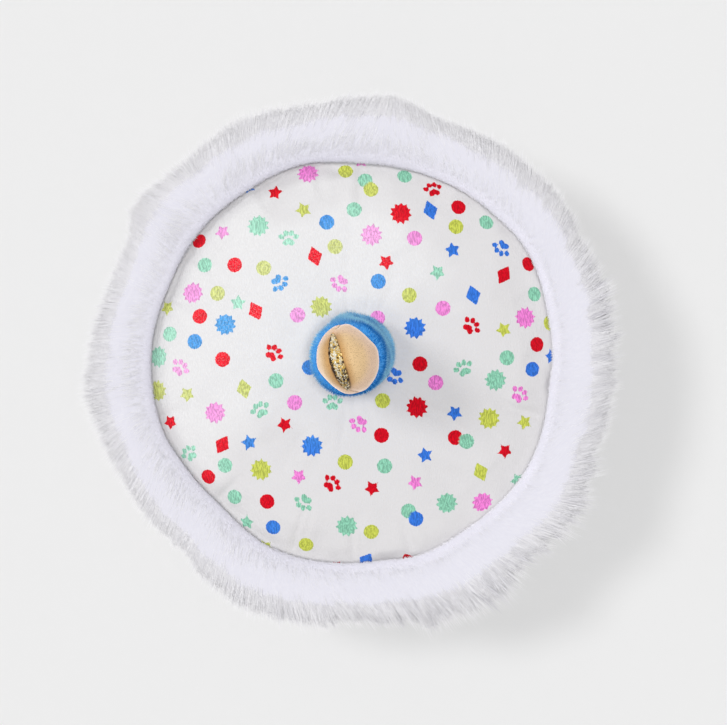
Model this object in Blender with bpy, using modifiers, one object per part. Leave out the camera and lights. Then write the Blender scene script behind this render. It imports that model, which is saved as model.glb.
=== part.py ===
"""A round plush birthday cake, made as a squeaking toy for dogs.

A crowned top panel, a ring of long fur and a side wall are sewn together over fibre filling, on a flat base.
A stuffed candle leans out of the top panel, sewn on at its gathered foot, and carries a stuffed flame with a
strip of gold cloth over its tip. A squeaker with a pleated wall sits in a pocket in the filling.

Lengths are in metres and +Z is up. The origin is the middle of the base, on the surface the toy stands on.
"""

import math

import bmesh
import bpy
import numpy as np
from mathutils import Matrix, Vector

MM = 0.001

# Fits, shared by all pieces
SEAM_GAP = 0.3 * MM  # between two pieces that touch
OVERRUN = 5.0 * MM  # how far a cutter stands past what it cuts

# Cloth
PANEL_CLOTH = 2.2 * MM
CANDLE_CLOTH = 1.8 * MM
FLAME_CLOTH = 1.4 * MM

# Body of the cake
TOP_SEAM_RADIUS = 100.0 * MM
TOP_SEAM_HEIGHT = 79.0 * MM
CROWN_RISE = 16.0 * MM
CROWN_FLATNESS = 3.4  # power of the crown: 2 is a dome, more is flatter with a rounder edge
BASE_SEAM_RADIUS = 94.0 * MM
SIDE_SWELL = 9.0 * MM
SWELL_SHARPNESS = 0.7  # power of the swell: less is fuller next to the seams
PUCKER_DEPTH = 0.9 * MM
PUCKER_REACH = 15.0 * MM
PUCKER_COUNT = 14
CROWN_SHIFT_SHARE = 0.85  # share of the seam's radius within which the crown's rings close in on the candle

# Fur round the top
FUR_BAND_HEIGHT = 38.0 * MM
FUR_DEPTH = 28.2 * MM  # from the top seam out to the pile's outer face
FUR_LIP_SETBACK = 0.6 * MM
FUR_LIP_RISE = 9.5 * MM  # above the top seam, where the pile stands up beside it
FUR_CREST_RISE = 17.5 * MM  # above the top seam, at the corner that the shoulder rounds off
FUR_HANG = 4.0 * MM  # below the band's foot
FUR_LIP_ROUND = 5.0 * MM
FUR_SHOULDER_ROUND = 13.3 * MM
FUR_BELLY_ROUND = 15.0 * MM
FUR_ROUND_STEPS = 5

# Filling and squeaker
FILLING_SPLIT_DROP = 36.0 * MM  # from the top seam down to where the two halves meet
SQUEAKER_RADIUS = 23.0 * MM
SQUEAKER_PLATE = 3.0 * MM
SQUEAKER_RIM = 1.6 * MM
BELLOWS_HEIGHT = 18.0 * MM
BELLOWS_WALL = 0.9 * MM
BELLOWS_PLEAT = 3.6 * MM
BELLOWS_PLEATS = 4
REED_TUBE_RADIUS = 5.5 * MM
REED_TUBE_WALL = 1.2 * MM
REED_TUBE_LENGTH = 6.0 * MM
REED_FLANGE = 1.1 * MM
REED_BORE_RADIUS = 1.4 * MM
POCKET_CLEARANCE = 0.8 * MM

# Candle
CANDLE_ROOT_X = 4.2 * MM
CANDLE_ROOT_Y = 5.9 * MM
CANDLE_SEAT_RADIUS = 13.5 * MM  # where its foot is sewn to the top panel
CANDLE_FOOT_HEIGHT = 14.0 * MM
CANDLE_LENGTH = 68.0 * MM  # from the point it bends about to its rim
CANDLE_RADIUS = 17.2 * MM
CANDLE_WAIST = 0.7 * MM
CANDLE_RIM_ROLL = 2.6 * MM
CANDLE_TOP_CROWN = 1.6 * MM
CANDLE_TOP_DROP = 0.8 * MM  # how far the top disc's edge lies below the rolled rim
CANDLE_LEAN = math.radians(5.8)
CANDLE_HEADING = math.radians(216.7)
FOOT_PLEAT_DEPTH = 0.9 * MM
FOOT_PLEAT_COUNT = 8
DIMPLE_DEPTH = 3.0 * MM
DIMPLE_FLOOR_MARGIN = 1.5 * MM  # how far the dimple's flat floor runs past the candle's seat
DIMPLE_SLOPE = 13.0 * MM  # from the floor's edge out to the level panel
ROOT_PIVOT_RISE = 1.0 * MM  # from the dimple's floor up to the point the candle bends about

# Flame
FLAME_FOOT = 5.0 * MM  # from its lowest point up to the point it bends about
FLAME_HEIGHT = 40.0 * MM  # from that point to the tip
FLAME_HALF_WIDTH = 14.4 * MM  # across the gold strip
FLAME_HALF_BREADTH = 16.0 * MM  # along the gold strip
FLAME_SKEW = 0.28  # more is a lower belly
FLAME_FOOT_POWER = 1.6  # more is a narrower foot
FLAME_TIP_POWER = 1.0
FLAME_OFFSET = 3.1 * MM  # its foot's distance from the candle's middle
FLAME_LEAN = math.radians(10.0)
FLAME_HEADING = math.radians(195.3)
GUSSET_HALF_LENGTH = 13.4 * MM
GUSSET_HALF_WIDTH = 3.1 * MM

# How finely round pieces are cut into faces
CAKE_SEGMENTS = 56
CROWN_RINGS = 7
WALL_RINGS = 11
CANDLE_SEGMENTS = 32
FLAME_SEGMENTS = 28
SQUEAKER_SEGMENTS = 24
MERGE_DISTANCE = 0.02 * MM

# Worked out from the sizes above
DIMPLE_FLOOR_RADIUS = CANDLE_SEAT_RADIUS + DIMPLE_FLOOR_MARGIN
DIMPLE_RADIUS = DIMPLE_FLOOR_RADIUS + DIMPLE_SLOPE

# Colours, linear
WHITE_PILE = (0.88, 0.88, 0.9)
FUR_WHITE = (0.9, 0.89, 0.94)
CANDLE_BLUE = (0.03, 0.28, 0.72)
FLAME_TAN = (0.8, 0.5, 0.26)
GOLD_CLOTH = (0.55, 0.38, 0.12)
FIBRE_WHITE = (0.92, 0.92, 0.9)
SQUEAKER_PLASTIC = (0.85, 0.84, 0.78)


def collection_of(name, hidden=False):
    """A new collection in the scene; a hidden one holds cutters."""
    found = bpy.data.collections.new(name)
    bpy.context.scene.collection.children.link(found)
    found.hide_render = hidden
    return found


def finish(name, colour, roughness, metallic=0.0):
    """A plain Principled material."""
    made = bpy.data.materials.new(name)
    made.use_nodes = True
    shader = made.node_tree.nodes["Principled BSDF"]
    shader.inputs["Base Color"].default_value = (*colour, 1.0)
    shader.inputs["Roughness"].default_value = roughness
    shader.inputs["Metallic"].default_value = metallic
    return made


def turned_mesh(name, profile, segments, closed=False):
    """The mesh of a profile of (radius, height) pairs turned about Z with a Screw modifier.

    A profile that isn't closed starts and ends on the axis.
    """
    count = len(profile)
    edges = [(i, i + 1) for i in range(count - 1)]
    if closed:
        edges.append((count - 1, 0))
    mesh = bpy.data.meshes.new(name)
    mesh.from_pydata([(radius, 0.0, height) for radius, height in profile], edges, [])
    spindle = bpy.data.objects.new(name, mesh)
    bpy.context.scene.collection.objects.link(spindle)
    screw = spindle.modifiers.new("turn", "SCREW")
    screw.steps = screw.render_steps = segments
    screw.use_merge_vertices = True
    screw.merge_threshold = MERGE_DISTANCE
    graph = bpy.context.evaluated_depsgraph_get()
    turned = bpy.data.meshes.new_from_object(spindle.evaluated_get(graph))
    bpy.data.objects.remove(spindle)
    turned.name = name
    face_outwards(turned)
    return turned


def face_outwards(mesh):
    """Welds a mesh's doubles and turns its faces outwards."""
    work = bmesh.new()
    work.from_mesh(mesh)
    bmesh.ops.remove_doubles(work, verts=work.verts, dist=MERGE_DISTANCE)
    bmesh.ops.recalc_face_normals(work, faces=work.faces)
    work.to_mesh(mesh)
    work.free()


def reshape(mesh, formula):
    """Moves a mesh's points: formula takes and returns an array of places, one row each."""
    count = len(mesh.vertices)
    places = np.empty(count * 3)
    mesh.vertices.foreach_get("co", places)
    moved = formula(places.reshape(count, 3))
    mesh.vertices.foreach_set("co", np.ascontiguousarray(moved).ravel())
    mesh.update()
    return mesh


def put(mesh, name, material, collection, parent=None):
    """Makes a smooth-shaded object of a mesh, at its parent's place."""
    mesh.materials.clear()
    mesh.materials.append(material)
    mesh.shade_smooth()
    mesh.set_sharp_from_angle(angle=math.radians(50))
    made = bpy.data.objects.new(name, mesh)
    collection.objects.link(made)
    made.parent = parent
    return made


def cut(target, cutter, operation="DIFFERENCE"):
    """Adds a Boolean to target, and hides the cutter."""
    boolean = target.modifiers.new(cutter.name, "BOOLEAN")
    boolean.operation = operation
    boolean.solver = "EXACT"
    boolean.object = cutter
    cutter.hide_render = True
    cutter.display_type = "WIRE"


def smooth_step(share):
    """A smooth rise from 0 to 1 as share goes from 0 to 1."""
    held = np.clip(share, 0.0, 1.0)
    return held * held * (3.0 - 2.0 * held)


# Shape of the cake's body


def crown_height(radius):
    """Height of the top panel's outer face at a distance from the middle, before the dimple and puckers."""
    share = min(radius / TOP_SEAM_RADIUS, 1.0)
    return TOP_SEAM_HEIGHT + CROWN_RISE * math.sqrt(1.0 - share**CROWN_FLATNESS)


def wall_rings():
    """Heights and outer radii of the rings that every piece of the wall shares, from base seam to top seam.

    The wall is straight between its two seams, plus a swell that follows a sine to a power.
    """
    shares = (1.0 - np.cos(np.linspace(0.0, math.pi, WALL_RINGS))) / 2
    heights = PANEL_CLOTH + (TOP_SEAM_HEIGHT - PANEL_CLOTH) * shares
    swell = SIDE_SWELL * np.clip(np.sin(math.pi * shares), 0.0, 1.0) ** SWELL_SHARPNESS
    return heights, BASE_SEAM_RADIUS + (TOP_SEAM_RADIUS - BASE_SEAM_RADIUS) * shares + swell


def wall_radius(height):
    """Outer radius of the cake's cloth wall at a height."""
    heights, radii = wall_rings()
    return float(np.interp(height, heights, radii))


def crown_edge():
    """Radius at which the filling's crown ends, inside the cloth of the wall."""
    return TOP_SEAM_RADIUS - PANEL_CLOTH - 2 * SEAM_GAP


def ring_radii():
    """Radii of the crown's rings: close together at the dimple, and again at the edge."""
    floor_to_rim = DIMPLE_RADIUS - DIMPLE_FLOOR_RADIUS
    inner = [DIMPLE_FLOOR_RADIUS, DIMPLE_FLOOR_RADIUS + floor_to_rim / 2, DIMPLE_RADIUS]
    run = crown_edge() - DIMPLE_RADIUS
    outer = [
        DIMPLE_RADIUS + run * math.sin(math.pi / 2 * step / CROWN_RINGS)
        for step in range(1, CROWN_RINGS + 1)
    ]
    return inner + outer


def dimple_and_pucker(places):
    """Draws the rings round the candle's root, and sinks and puckers the crown there and at its edge."""
    x, y, z = places.T
    radius = np.hypot(x, y)
    settled = CROWN_SHIFT_SHARE * TOP_SEAM_RADIUS
    shift = 1.0 - smooth_step((radius - DIMPLE_RADIUS) / (settled - DIMPLE_RADIUS))
    angle = np.arctan2(y, x)
    rise = smooth_step((radius - DIMPLE_FLOOR_RADIUS) / (DIMPLE_RADIUS - DIMPLE_FLOOR_RADIUS))
    inwards = np.clip((TOP_SEAM_RADIUS - radius) / PUCKER_REACH, 0.0, 1.0)
    pucker = np.sin(math.pi * inwards) * (0.5 - 0.5 * np.cos(PUCKER_COUNT * angle))
    z = z - DIMPLE_DEPTH * (1.0 - rise) - PUCKER_DEPTH * pucker
    return np.column_stack((x + CANDLE_ROOT_X * shift, y + CANDLE_ROOT_Y * shift, z))


def wall_profile(low, high, depth):
    """Points down the wall from high to low, at a depth inside its outer face."""
    between = [height for height in reversed(wall_rings()[0].tolist()) if low < height < high]
    return [(wall_radius(height) - depth, height) for height in (high, *between, low)]


def add_top_panel(material, collection):
    """The crowned, dimpled and puckered disc of printed cloth."""
    radii = [*ring_radii(), TOP_SEAM_RADIUS]
    outer = [(radius, crown_height(radius)) for radius in radii]
    inner = [(radius, crown_height(radius) - PANEL_CLOTH) for radius in reversed(radii)]
    axis_top = (0.0, crown_height(0.0))
    axis_bottom = (0.0, crown_height(0.0) - PANEL_CLOTH)
    mesh = turned_mesh("top_panel", [axis_top, *outer, *inner, axis_bottom], CAKE_SEGMENTS)
    return put(reshape(mesh, dimple_and_pucker), "top_panel", material, collection)


def rounded_path(start, corners, end):
    """Points from start to end by way of corners, each rounded off over its own reach to either side."""
    places = [Vector(start), *(Vector(corner[:2]) for corner in corners), Vector(end)]
    path = [start]
    for before, corner, after, (_, _, reach) in zip(places, places[1:], places[2:], corners):
        first = corner + (before - corner).normalized() * reach
        last = corner + (after - corner).normalized() * reach
        for share in np.linspace(0.0, 1.0, FUR_ROUND_STEPS):
            path.append(tuple(first.lerp(corner, share).lerp(corner.lerp(last, share), share)))
    return [*path, end]


def fur_band_foot():
    """Height of the seam between the fur and the side wall."""
    return TOP_SEAM_HEIGHT - FUR_BAND_HEIGHT


def add_fur_trim(material, collection):
    """The ring of fur: its backing carries on the wall, and its outer face is the pile's.

    The pile stands up beside the top seam, rises outwards to its crest and hangs a little below the band.
    """
    top = TOP_SEAM_HEIGHT
    foot = fur_band_foot()
    seat = top - PANEL_CLOTH - SEAM_GAP
    shelf = TOP_SEAM_RADIUS + SEAM_GAP
    outermost = shelf + FUR_DEPTH
    corners = [
        (shelf + FUR_LIP_SETBACK, top + FUR_LIP_RISE, FUR_LIP_ROUND),
        (outermost, top + FUR_CREST_RISE, FUR_SHOULDER_ROUND),
        (outermost, foot - FUR_HANG, FUR_BELLY_ROUND),
    ]
    outer = rounded_path((shelf, top), corners, (wall_radius(foot), foot))
    inner = wall_profile(foot, seat, PANEL_CLOTH)
    profile = [*outer, *reversed(inner), (shelf, seat)]
    mesh = turned_mesh("fur_trim", profile, CAKE_SEGMENTS, closed=True)
    return put(mesh, "fur_trim", material, collection)


def add_side_panel(material, collection):
    """The wall below the fur."""
    top = fur_band_foot() - SEAM_GAP
    bottom = PANEL_CLOTH + SEAM_GAP
    outer = wall_profile(bottom, top, 0.0)
    inner = wall_profile(bottom, top, PANEL_CLOTH)
    mesh = turned_mesh("side_panel", [*outer, *reversed(inner)], CAKE_SEGMENTS, closed=True)
    return put(mesh, "side_panel", material, collection)


def add_base_panel(material, collection):
    """The flat round base, with a soft lower edge."""
    edge = wall_radius(PANEL_CLOTH + SEAM_GAP)
    rounding = PANEL_CLOTH / 2
    profile = [
        (0.0, PANEL_CLOTH),
        (edge, PANEL_CLOTH),
        (edge, rounding),
        (edge - rounding * (1.0 - math.sqrt(0.5)), rounding * (1.0 - math.sqrt(0.5))),
        (edge - rounding, 0.0),
        (0.0, 0.0),
    ]
    mesh = turned_mesh("base_panel", profile, CAKE_SEGMENTS)
    return put(mesh, "base_panel", material, collection)


# Filling and squeaker


def filling_split():
    """Height at which the two halves of the filling meet, halfway up the squeaker."""
    return TOP_SEAM_HEIGHT - FILLING_SPLIT_DROP


def squeaker_height():
    """Height of the squeaker at rest."""
    return 2 * SQUEAKER_PLATE + BELLOWS_HEIGHT + 2 * SEAM_GAP


def squeaker_foot():
    """Height of the squeaker's lower face."""
    return filling_split() - squeaker_height() / 2


def add_stuffing(material, collection):
    """The two halves of the filling, with the squeaker's pocket between them."""
    depth = PANEL_CLOTH + SEAM_GAP
    pocket = SQUEAKER_RADIUS + POCKET_CLEARANCE
    split = filling_split()
    crown = [(radius, crown_height(radius) - depth) for radius in ring_radii()]
    shoulder = crown[-1][1]
    upper_wall = wall_profile(split, shoulder - PANEL_CLOTH, depth)
    pocket_roof = squeaker_foot() + squeaker_height() + SEAM_GAP
    upper = [
        (0.0, crown_height(0.0) - depth),
        *crown,
        *upper_wall,
        (pocket, split),
        (pocket, pocket_roof),
        (0.0, pocket_roof),
    ]
    upper_mesh = turned_mesh("stuffing_upper", upper, CAKE_SEGMENTS)
    below = shoulder - PANEL_CLOTH / 2
    reshape(upper_mesh, lambda at: np.where(at[:, 2:3] > below, dimple_and_pucker(at), at))
    put(upper_mesh, "stuffing_upper", material, collection)

    floor = PANEL_CLOTH + SEAM_GAP
    pocket_floor = squeaker_foot() - SEAM_GAP
    lower_top = split - SEAM_GAP
    lower = [
        (0.0, pocket_floor),
        (pocket, pocket_floor),
        (pocket, lower_top),
        *wall_profile(floor, lower_top, depth),
        (0.0, floor),
    ]
    lower_mesh = turned_mesh("stuffing_lower", lower, CAKE_SEGMENTS)
    put(lower_mesh, "stuffing_lower", material, collection)


def add_squeaker(plastic, collection):
    """Base disc with its reed tube, pleated wall, crown and reed."""
    foot = squeaker_foot()
    plate_top = foot + SQUEAKER_PLATE
    tube_top = plate_top + REED_TUBE_LENGTH
    bore = REED_TUBE_RADIUS - REED_TUBE_WALL
    edge = SQUEAKER_RADIUS - SQUEAKER_RIM
    base = [
        (bore, tube_top),
        (REED_TUBE_RADIUS, tube_top),
        (REED_TUBE_RADIUS, plate_top),
        (edge, plate_top),
        (SQUEAKER_RADIUS, plate_top - SQUEAKER_RIM / 2),
        (SQUEAKER_RADIUS, foot + SQUEAKER_RIM / 2),
        (edge, foot),
        (bore, foot),
    ]
    base_mesh = turned_mesh("squeaker_base", base, SQUEAKER_SEGMENTS, closed=True)
    put(base_mesh, "squeaker_base", plastic, collection)

    reed_radius = bore - SEAM_GAP
    reed = [
        (REED_BORE_RADIUS, tube_top + SEAM_GAP + REED_FLANGE),
        (REED_TUBE_RADIUS, tube_top + SEAM_GAP + REED_FLANGE),
        (REED_TUBE_RADIUS, tube_top + SEAM_GAP),
        (reed_radius, tube_top + SEAM_GAP),
        (reed_radius, foot),
        (REED_BORE_RADIUS, foot),
    ]
    reed_mesh = turned_mesh("squeaker_reed", reed, SQUEAKER_SEGMENTS, closed=True)
    put(reed_mesh, "squeaker_reed", plastic, collection)

    bellows_foot = plate_top + SEAM_GAP
    turns = 2 * BELLOWS_PLEATS
    rise = BELLOWS_HEIGHT / turns
    outside = edge
    zigzag = [
        (outside - BELLOWS_PLEAT * (i % 2), bellows_foot + BELLOWS_HEIGHT - rise * i)
        for i in range(turns + 1)
    ]
    inner = [(radius - BELLOWS_WALL, height) for radius, height in reversed(zigzag)]
    bellows_mesh = turned_mesh("squeaker_bellows", zigzag + inner, SQUEAKER_SEGMENTS, closed=True)
    put(bellows_mesh, "squeaker_bellows", plastic, collection)

    crown_foot = bellows_foot + BELLOWS_HEIGHT + SEAM_GAP
    crown_top = crown_foot + SQUEAKER_PLATE - SEAM_GAP
    crown = [
        (0.0, crown_top),
        (edge - SQUEAKER_RIM, crown_top),
        (SQUEAKER_RADIUS - SQUEAKER_RIM / 2, crown_top - SQUEAKER_RIM / 2),
        (SQUEAKER_RADIUS, crown_foot + SQUEAKER_RIM / 2),
        (edge, crown_foot),
        (0.0, crown_foot),
    ]
    crown_mesh = turned_mesh("squeaker_crown", crown, SQUEAKER_SEGMENTS)
    handle = bpy.data.objects.new("squeaker_slide", None)
    collection.objects.link(handle)
    handle.location = (0.0, 0.0, crown_foot)
    reshape(crown_mesh, lambda places: places - np.array(handle.location))
    put(crown_mesh, "squeaker_crown", plastic, collection, handle)


# Candle


def lean_matrix(angle, heading):
    """Tips +Z by an angle towards a heading, measured from +X."""
    return Matrix.Rotation(angle, 4, Vector((-math.sin(heading), math.cos(heading), 0.0)))


def root_pivot():
    """The point that the candle bends about, above the dimple's floor."""
    floor = crown_height(0.0) - DIMPLE_DEPTH
    return Vector((CANDLE_ROOT_X, CANDLE_ROOT_Y, floor + ROOT_PIVOT_RISE))


def sleeve_profile(depth):
    """Points down the candle's side from its rolled rim to its foot, at a depth inside its face."""
    roll = CANDLE_RIM_ROLL - depth
    side_top = CANDLE_LENGTH - CANDLE_RIM_ROLL
    centre = CANDLE_RADIUS - CANDLE_RIM_ROLL
    rim = [
        (centre + roll * math.sin(turn), side_top + roll * math.cos(turn))
        for turn in np.linspace(0.0, math.pi / 2, 4)
    ]
    side = [
        (
            CANDLE_RADIUS - depth - CANDLE_WAIST * math.sin(math.pi * share),
            side_top + (CANDLE_FOOT_HEIGHT - side_top) * share,
        )
        for share in np.linspace(0.0, 1.0, 6)[1:]
    ]
    return [*rim, *side]


def add_candle_foot(material, collection, root):
    """The candle's foot, drawn in with pleats where it is sewn on. It bends from upright to the lean."""
    low = SEAM_GAP - ROOT_PIVOT_RISE
    high = CANDLE_FOOT_HEIGHT - SEAM_GAP
    flare = CANDLE_RADIUS - CANDLE_SEAT_RADIUS
    side = [
        (CANDLE_SEAT_RADIUS + flare * math.sin(math.pi / 2 * share), low + (high - low) * share)
        for share in np.linspace(1.0, 0.0, 6)
    ]
    mesh = turned_mesh("candle_foot", [(0.0, high), *side, (0.0, low)], CANDLE_SEGMENTS)
    bend_axis = np.array((-math.sin(CANDLE_HEADING), math.cos(CANDLE_HEADING), 0.0))

    def pleat_and_bend(places):
        angle = np.arctan2(places[:, 1], places[:, 0])
        upwards = (places[:, 2] - low) / (high - low)
        pleat = (1.0 - upwards) * (0.5 - 0.5 * np.cos(FOOT_PLEAT_COUNT * angle))
        drawn = 1.0 - FOOT_PLEAT_DEPTH / CANDLE_SEAT_RADIUS * pleat
        pleated = places * np.column_stack((drawn, drawn, np.ones_like(drawn)))
        turn = (CANDLE_LEAN * upwards)[:, None]
        along = (pleated @ bend_axis)[:, None] * bend_axis * (1.0 - np.cos(turn))
        return pleated * np.cos(turn) + np.cross(bend_axis, pleated) * np.sin(turn) + along

    return put(reshape(mesh, pleat_and_bend), "candle_foot", material, collection, root)


def add_candle(material, filling, collection, root):
    """Sleeve, top disc and filling. Returns the candle's leaning frame and the height of its top in it."""
    pivot = bpy.data.objects.new("candle_bend", None)
    collection.objects.link(pivot)
    pivot.parent = root
    pivot.matrix_local = lean_matrix(CANDLE_LEAN, CANDLE_HEADING)

    outer = sleeve_profile(0.0)
    inner = sleeve_profile(CANDLE_CLOTH)
    sleeve_mesh = turned_mesh("candle_sleeve", [*outer, *reversed(inner)], CANDLE_SEGMENTS, closed=True)
    put(sleeve_mesh, "candle_sleeve", material, collection, pivot)

    opening = CANDLE_RADIUS - CANDLE_RIM_ROLL - SEAM_GAP
    edge_top = CANDLE_LENGTH - CANDLE_TOP_DROP
    crown_top = edge_top + CANDLE_TOP_CROWN
    under = edge_top - CANDLE_CLOTH
    dome = [
        (opening * math.sin(turn), edge_top + CANDLE_TOP_CROWN * math.cos(turn))
        for turn in np.linspace(math.pi / 5, math.pi / 2, 4)
    ]
    flat_top = (0.0, dome[0][1])
    disc_mesh = turned_mesh("candle_top", [flat_top, *dome, (opening, under), (0.0, under)], CANDLE_SEGMENTS)
    put(disc_mesh, "candle_top", material, collection, pivot)

    ceiling = under - SEAM_GAP
    lining = sleeve_profile(CANDLE_CLOTH + SEAM_GAP)
    core = [(radius, height) for radius, height in lining if height < ceiling]
    shoulder = (min(opening, core[0][0]), ceiling)
    core_profile = [(0.0, ceiling), shoulder, *core, (0.0, CANDLE_FOOT_HEIGHT)]
    core_mesh = turned_mesh("candle_stuffing", core_profile, CANDLE_SEGMENTS)
    put(core_mesh, "candle_stuffing", filling, collection, pivot)
    return pivot, crown_top


# Flame


def flame_profile(depth):
    """Points down the flame from tip to foot, at a depth inside its face.

    Height follows a cosine. The radius is a sine to a power that slides from the foot's to the tip's, skewed
    so that the belly lies low.
    """
    turns = np.linspace(math.pi, 0.0, 15)
    length = FLAME_HEIGHT + FLAME_FOOT
    upwards = (1.0 - np.cos(turns)) / 2
    power = FLAME_FOOT_POWER + (FLAME_TIP_POWER - FLAME_FOOT_POWER) * upwards
    radius = np.clip(np.sin(turns), 0.0, 1.0) ** power * (1.0 + FLAME_SKEW * np.cos(turns))
    radius *= FLAME_HALF_WIDTH / radius.max()
    height = length * upwards - FLAME_FOOT
    if depth:
        radius = radius * (FLAME_HALF_WIDTH - depth) / FLAME_HALF_WIDTH
        middle = (FLAME_HEIGHT - FLAME_FOOT) / 2
        height = middle + (height - middle) * (length - 2 * depth) / length
    radius[0] = radius[-1] = 0.0
    return list(zip(radius.tolist(), height.tolist(), strict=True))


def flame_body(name, depth):
    """The mesh of the flame's outline, wider along the gold strip than across it."""
    mesh = turned_mesh(name, flame_profile(depth), FLAME_SEGMENTS)
    breadth = (FLAME_HALF_BREADTH - depth) / (FLAME_HALF_WIDTH - depth)
    return reshape(mesh, lambda places: places * np.array((1.0, breadth, 1.0)))


def lens_prism(name, half_length, half_width, low, high, collection, parent):
    """A cutter: a lens of two arcs in plan, drawn up from low to high."""
    radius = (half_length**2 + half_width**2) / (2 * half_width)
    reach = math.asin(half_length / radius)
    arc = [
        (radius * math.cos(turn) - radius + half_width, radius * math.sin(turn))
        for turn in np.linspace(-reach, reach, 9)
    ]
    outline = arc + [(-x, -y) for x, y in arc[1:-1]]
    work = bmesh.new()
    floor = work.faces.new([work.verts.new((x, y, low)) for x, y in outline])
    grown = bmesh.ops.extrude_face_region(work, geom=[floor])
    raised = [item for item in grown["geom"] if isinstance(item, bmesh.types.BMVert)]
    bmesh.ops.translate(work, verts=raised, vec=(0.0, 0.0, high - low))
    bmesh.ops.recalc_face_normals(work, faces=work.faces)
    mesh = bpy.data.meshes.new(name)
    work.to_mesh(mesh)
    work.free()
    made = bpy.data.objects.new(name, mesh)
    collection.objects.link(made)
    made.parent = parent
    return made


def box_cutter(name, low, high, collection, parent):
    """A cutter: a box between two corners."""
    work = bmesh.new()
    bmesh.ops.create_cube(work, size=1.0)
    span = Vector(high) - Vector(low)
    middle = (Vector(high) + Vector(low)) / 2
    bmesh.ops.scale(work, vec=span, verts=work.verts)
    bmesh.ops.translate(work, vec=middle, verts=work.verts)
    mesh = bpy.data.meshes.new(name)
    work.to_mesh(mesh)
    work.free()
    made = bpy.data.objects.new(name, mesh)
    collection.objects.link(made)
    made.parent = parent
    return made


def add_flame(velour, gold, filling, collection, cutters, candle, crown_top):
    """Two velour cheeks, the gold strip between them over the tip, and the filling, on the candle's top."""
    pivot = bpy.data.objects.new("flame_bend", None)
    collection.objects.link(pivot)
    pivot.parent = candle
    heading = FLAME_HEADING - math.pi
    candle_turn = lean_matrix(CANDLE_LEAN, CANDLE_HEADING)
    aim = lean_matrix(FLAME_LEAN, FLAME_HEADING) @ Matrix.Rotation(heading, 4, "Z")
    sideways = candle_turn.inverted() @ Vector((math.cos(heading), math.sin(heading), 0.0))
    sideways.z = 0.0
    seat = sideways.normalized() * FLAME_OFFSET + Vector((0.0, 0.0, crown_top + SEAM_GAP + FLAME_FOOT))
    pivot.matrix_local = Matrix.Translation(seat) @ candle_turn.inverted() @ aim

    hollow_mesh = flame_body("flame_hollow", FLAME_CLOTH)
    hollow = put(hollow_mesh, "flame_hollow", filling, cutters, pivot)
    reach = FLAME_HALF_BREADTH + OVERRUN
    top = FLAME_HEIGHT + OVERRUN
    bottom = -FLAME_FOOT - OVERRUN
    belly = max(flame_profile(0.0), key=lambda place: place[0])[1]
    strip_size = (GUSSET_HALF_LENGTH, GUSSET_HALF_WIDTH)
    slot_size = tuple(size + SEAM_GAP for size in strip_size)
    strip = lens_prism("strip_outline", *strip_size, belly, top, cutters, pivot)
    slot = lens_prism("strip_slot", *slot_size, belly - SEAM_GAP, top, cutters, pivot)
    half_gap = SEAM_GAP / 2
    left = box_cutter("left_half", (-reach, -reach, bottom), (half_gap, reach, top), cutters, pivot)
    right = box_cutter("right_half", (-half_gap, -reach, bottom), (reach, reach, top), cutters, pivot)

    for name, other_half in (("flame_cheek_left", right), ("flame_cheek_right", left)):
        cheek = put(flame_body(name, 0.0), name, velour, collection, pivot)
        cut(cheek, hollow)
        cut(cheek, slot)
        cut(cheek, other_half)

    gusset = put(flame_body("flame_gusset", 0.0), "flame_gusset", gold, collection, pivot)
    cut(gusset, hollow)
    cut(gusset, strip, "INTERSECT")

    core = flame_body("flame_stuffing", FLAME_CLOTH + SEAM_GAP)
    put(core, "flame_stuffing", filling, collection, pivot)


def main():
    """Clears the scene and builds the cake."""
    for old in list(bpy.data.objects):
        bpy.data.objects.remove(old)
    collection = collection_of("plush_birthday_cake")
    cutters = collection_of("cutters", hidden=True)

    printed = finish("printed_pile", WHITE_PILE, 0.85)
    fur = finish("long_fur", FUR_WHITE, 0.9)
    blue = finish("blue_plush", CANDLE_BLUE, 0.85)
    velour = finish("tan_velour", FLAME_TAN, 0.75)
    gold = finish("gold_cloth", GOLD_CLOTH, 0.3, 0.9)
    fibre = finish("fibre_filling", FIBRE_WHITE, 0.95)
    plastic = finish("squeaker_plastic", SQUEAKER_PLASTIC, 0.4)

    add_top_panel(printed, collection)
    add_fur_trim(fur, collection)
    add_side_panel(printed, collection)
    add_base_panel(printed, collection)
    add_stuffing(fibre, collection)
    add_squeaker(plastic, collection)

    root = bpy.data.objects.new("candle_root", None)
    collection.objects.link(root)
    root.location = root_pivot()
    add_candle_foot(blue, collection, root)
    candle, crown_top = add_candle(blue, fibre, collection, root)
    add_flame(velour, gold, fibre, collection, cutters, candle, crown_top)
    bpy.context.view_layer.update()


main()
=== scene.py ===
import logging
import math
from dataclasses import dataclass
from enum import Enum
from functools import cache

import bpy
import numpy as np
from mathutils import Matrix, Vector


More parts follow.
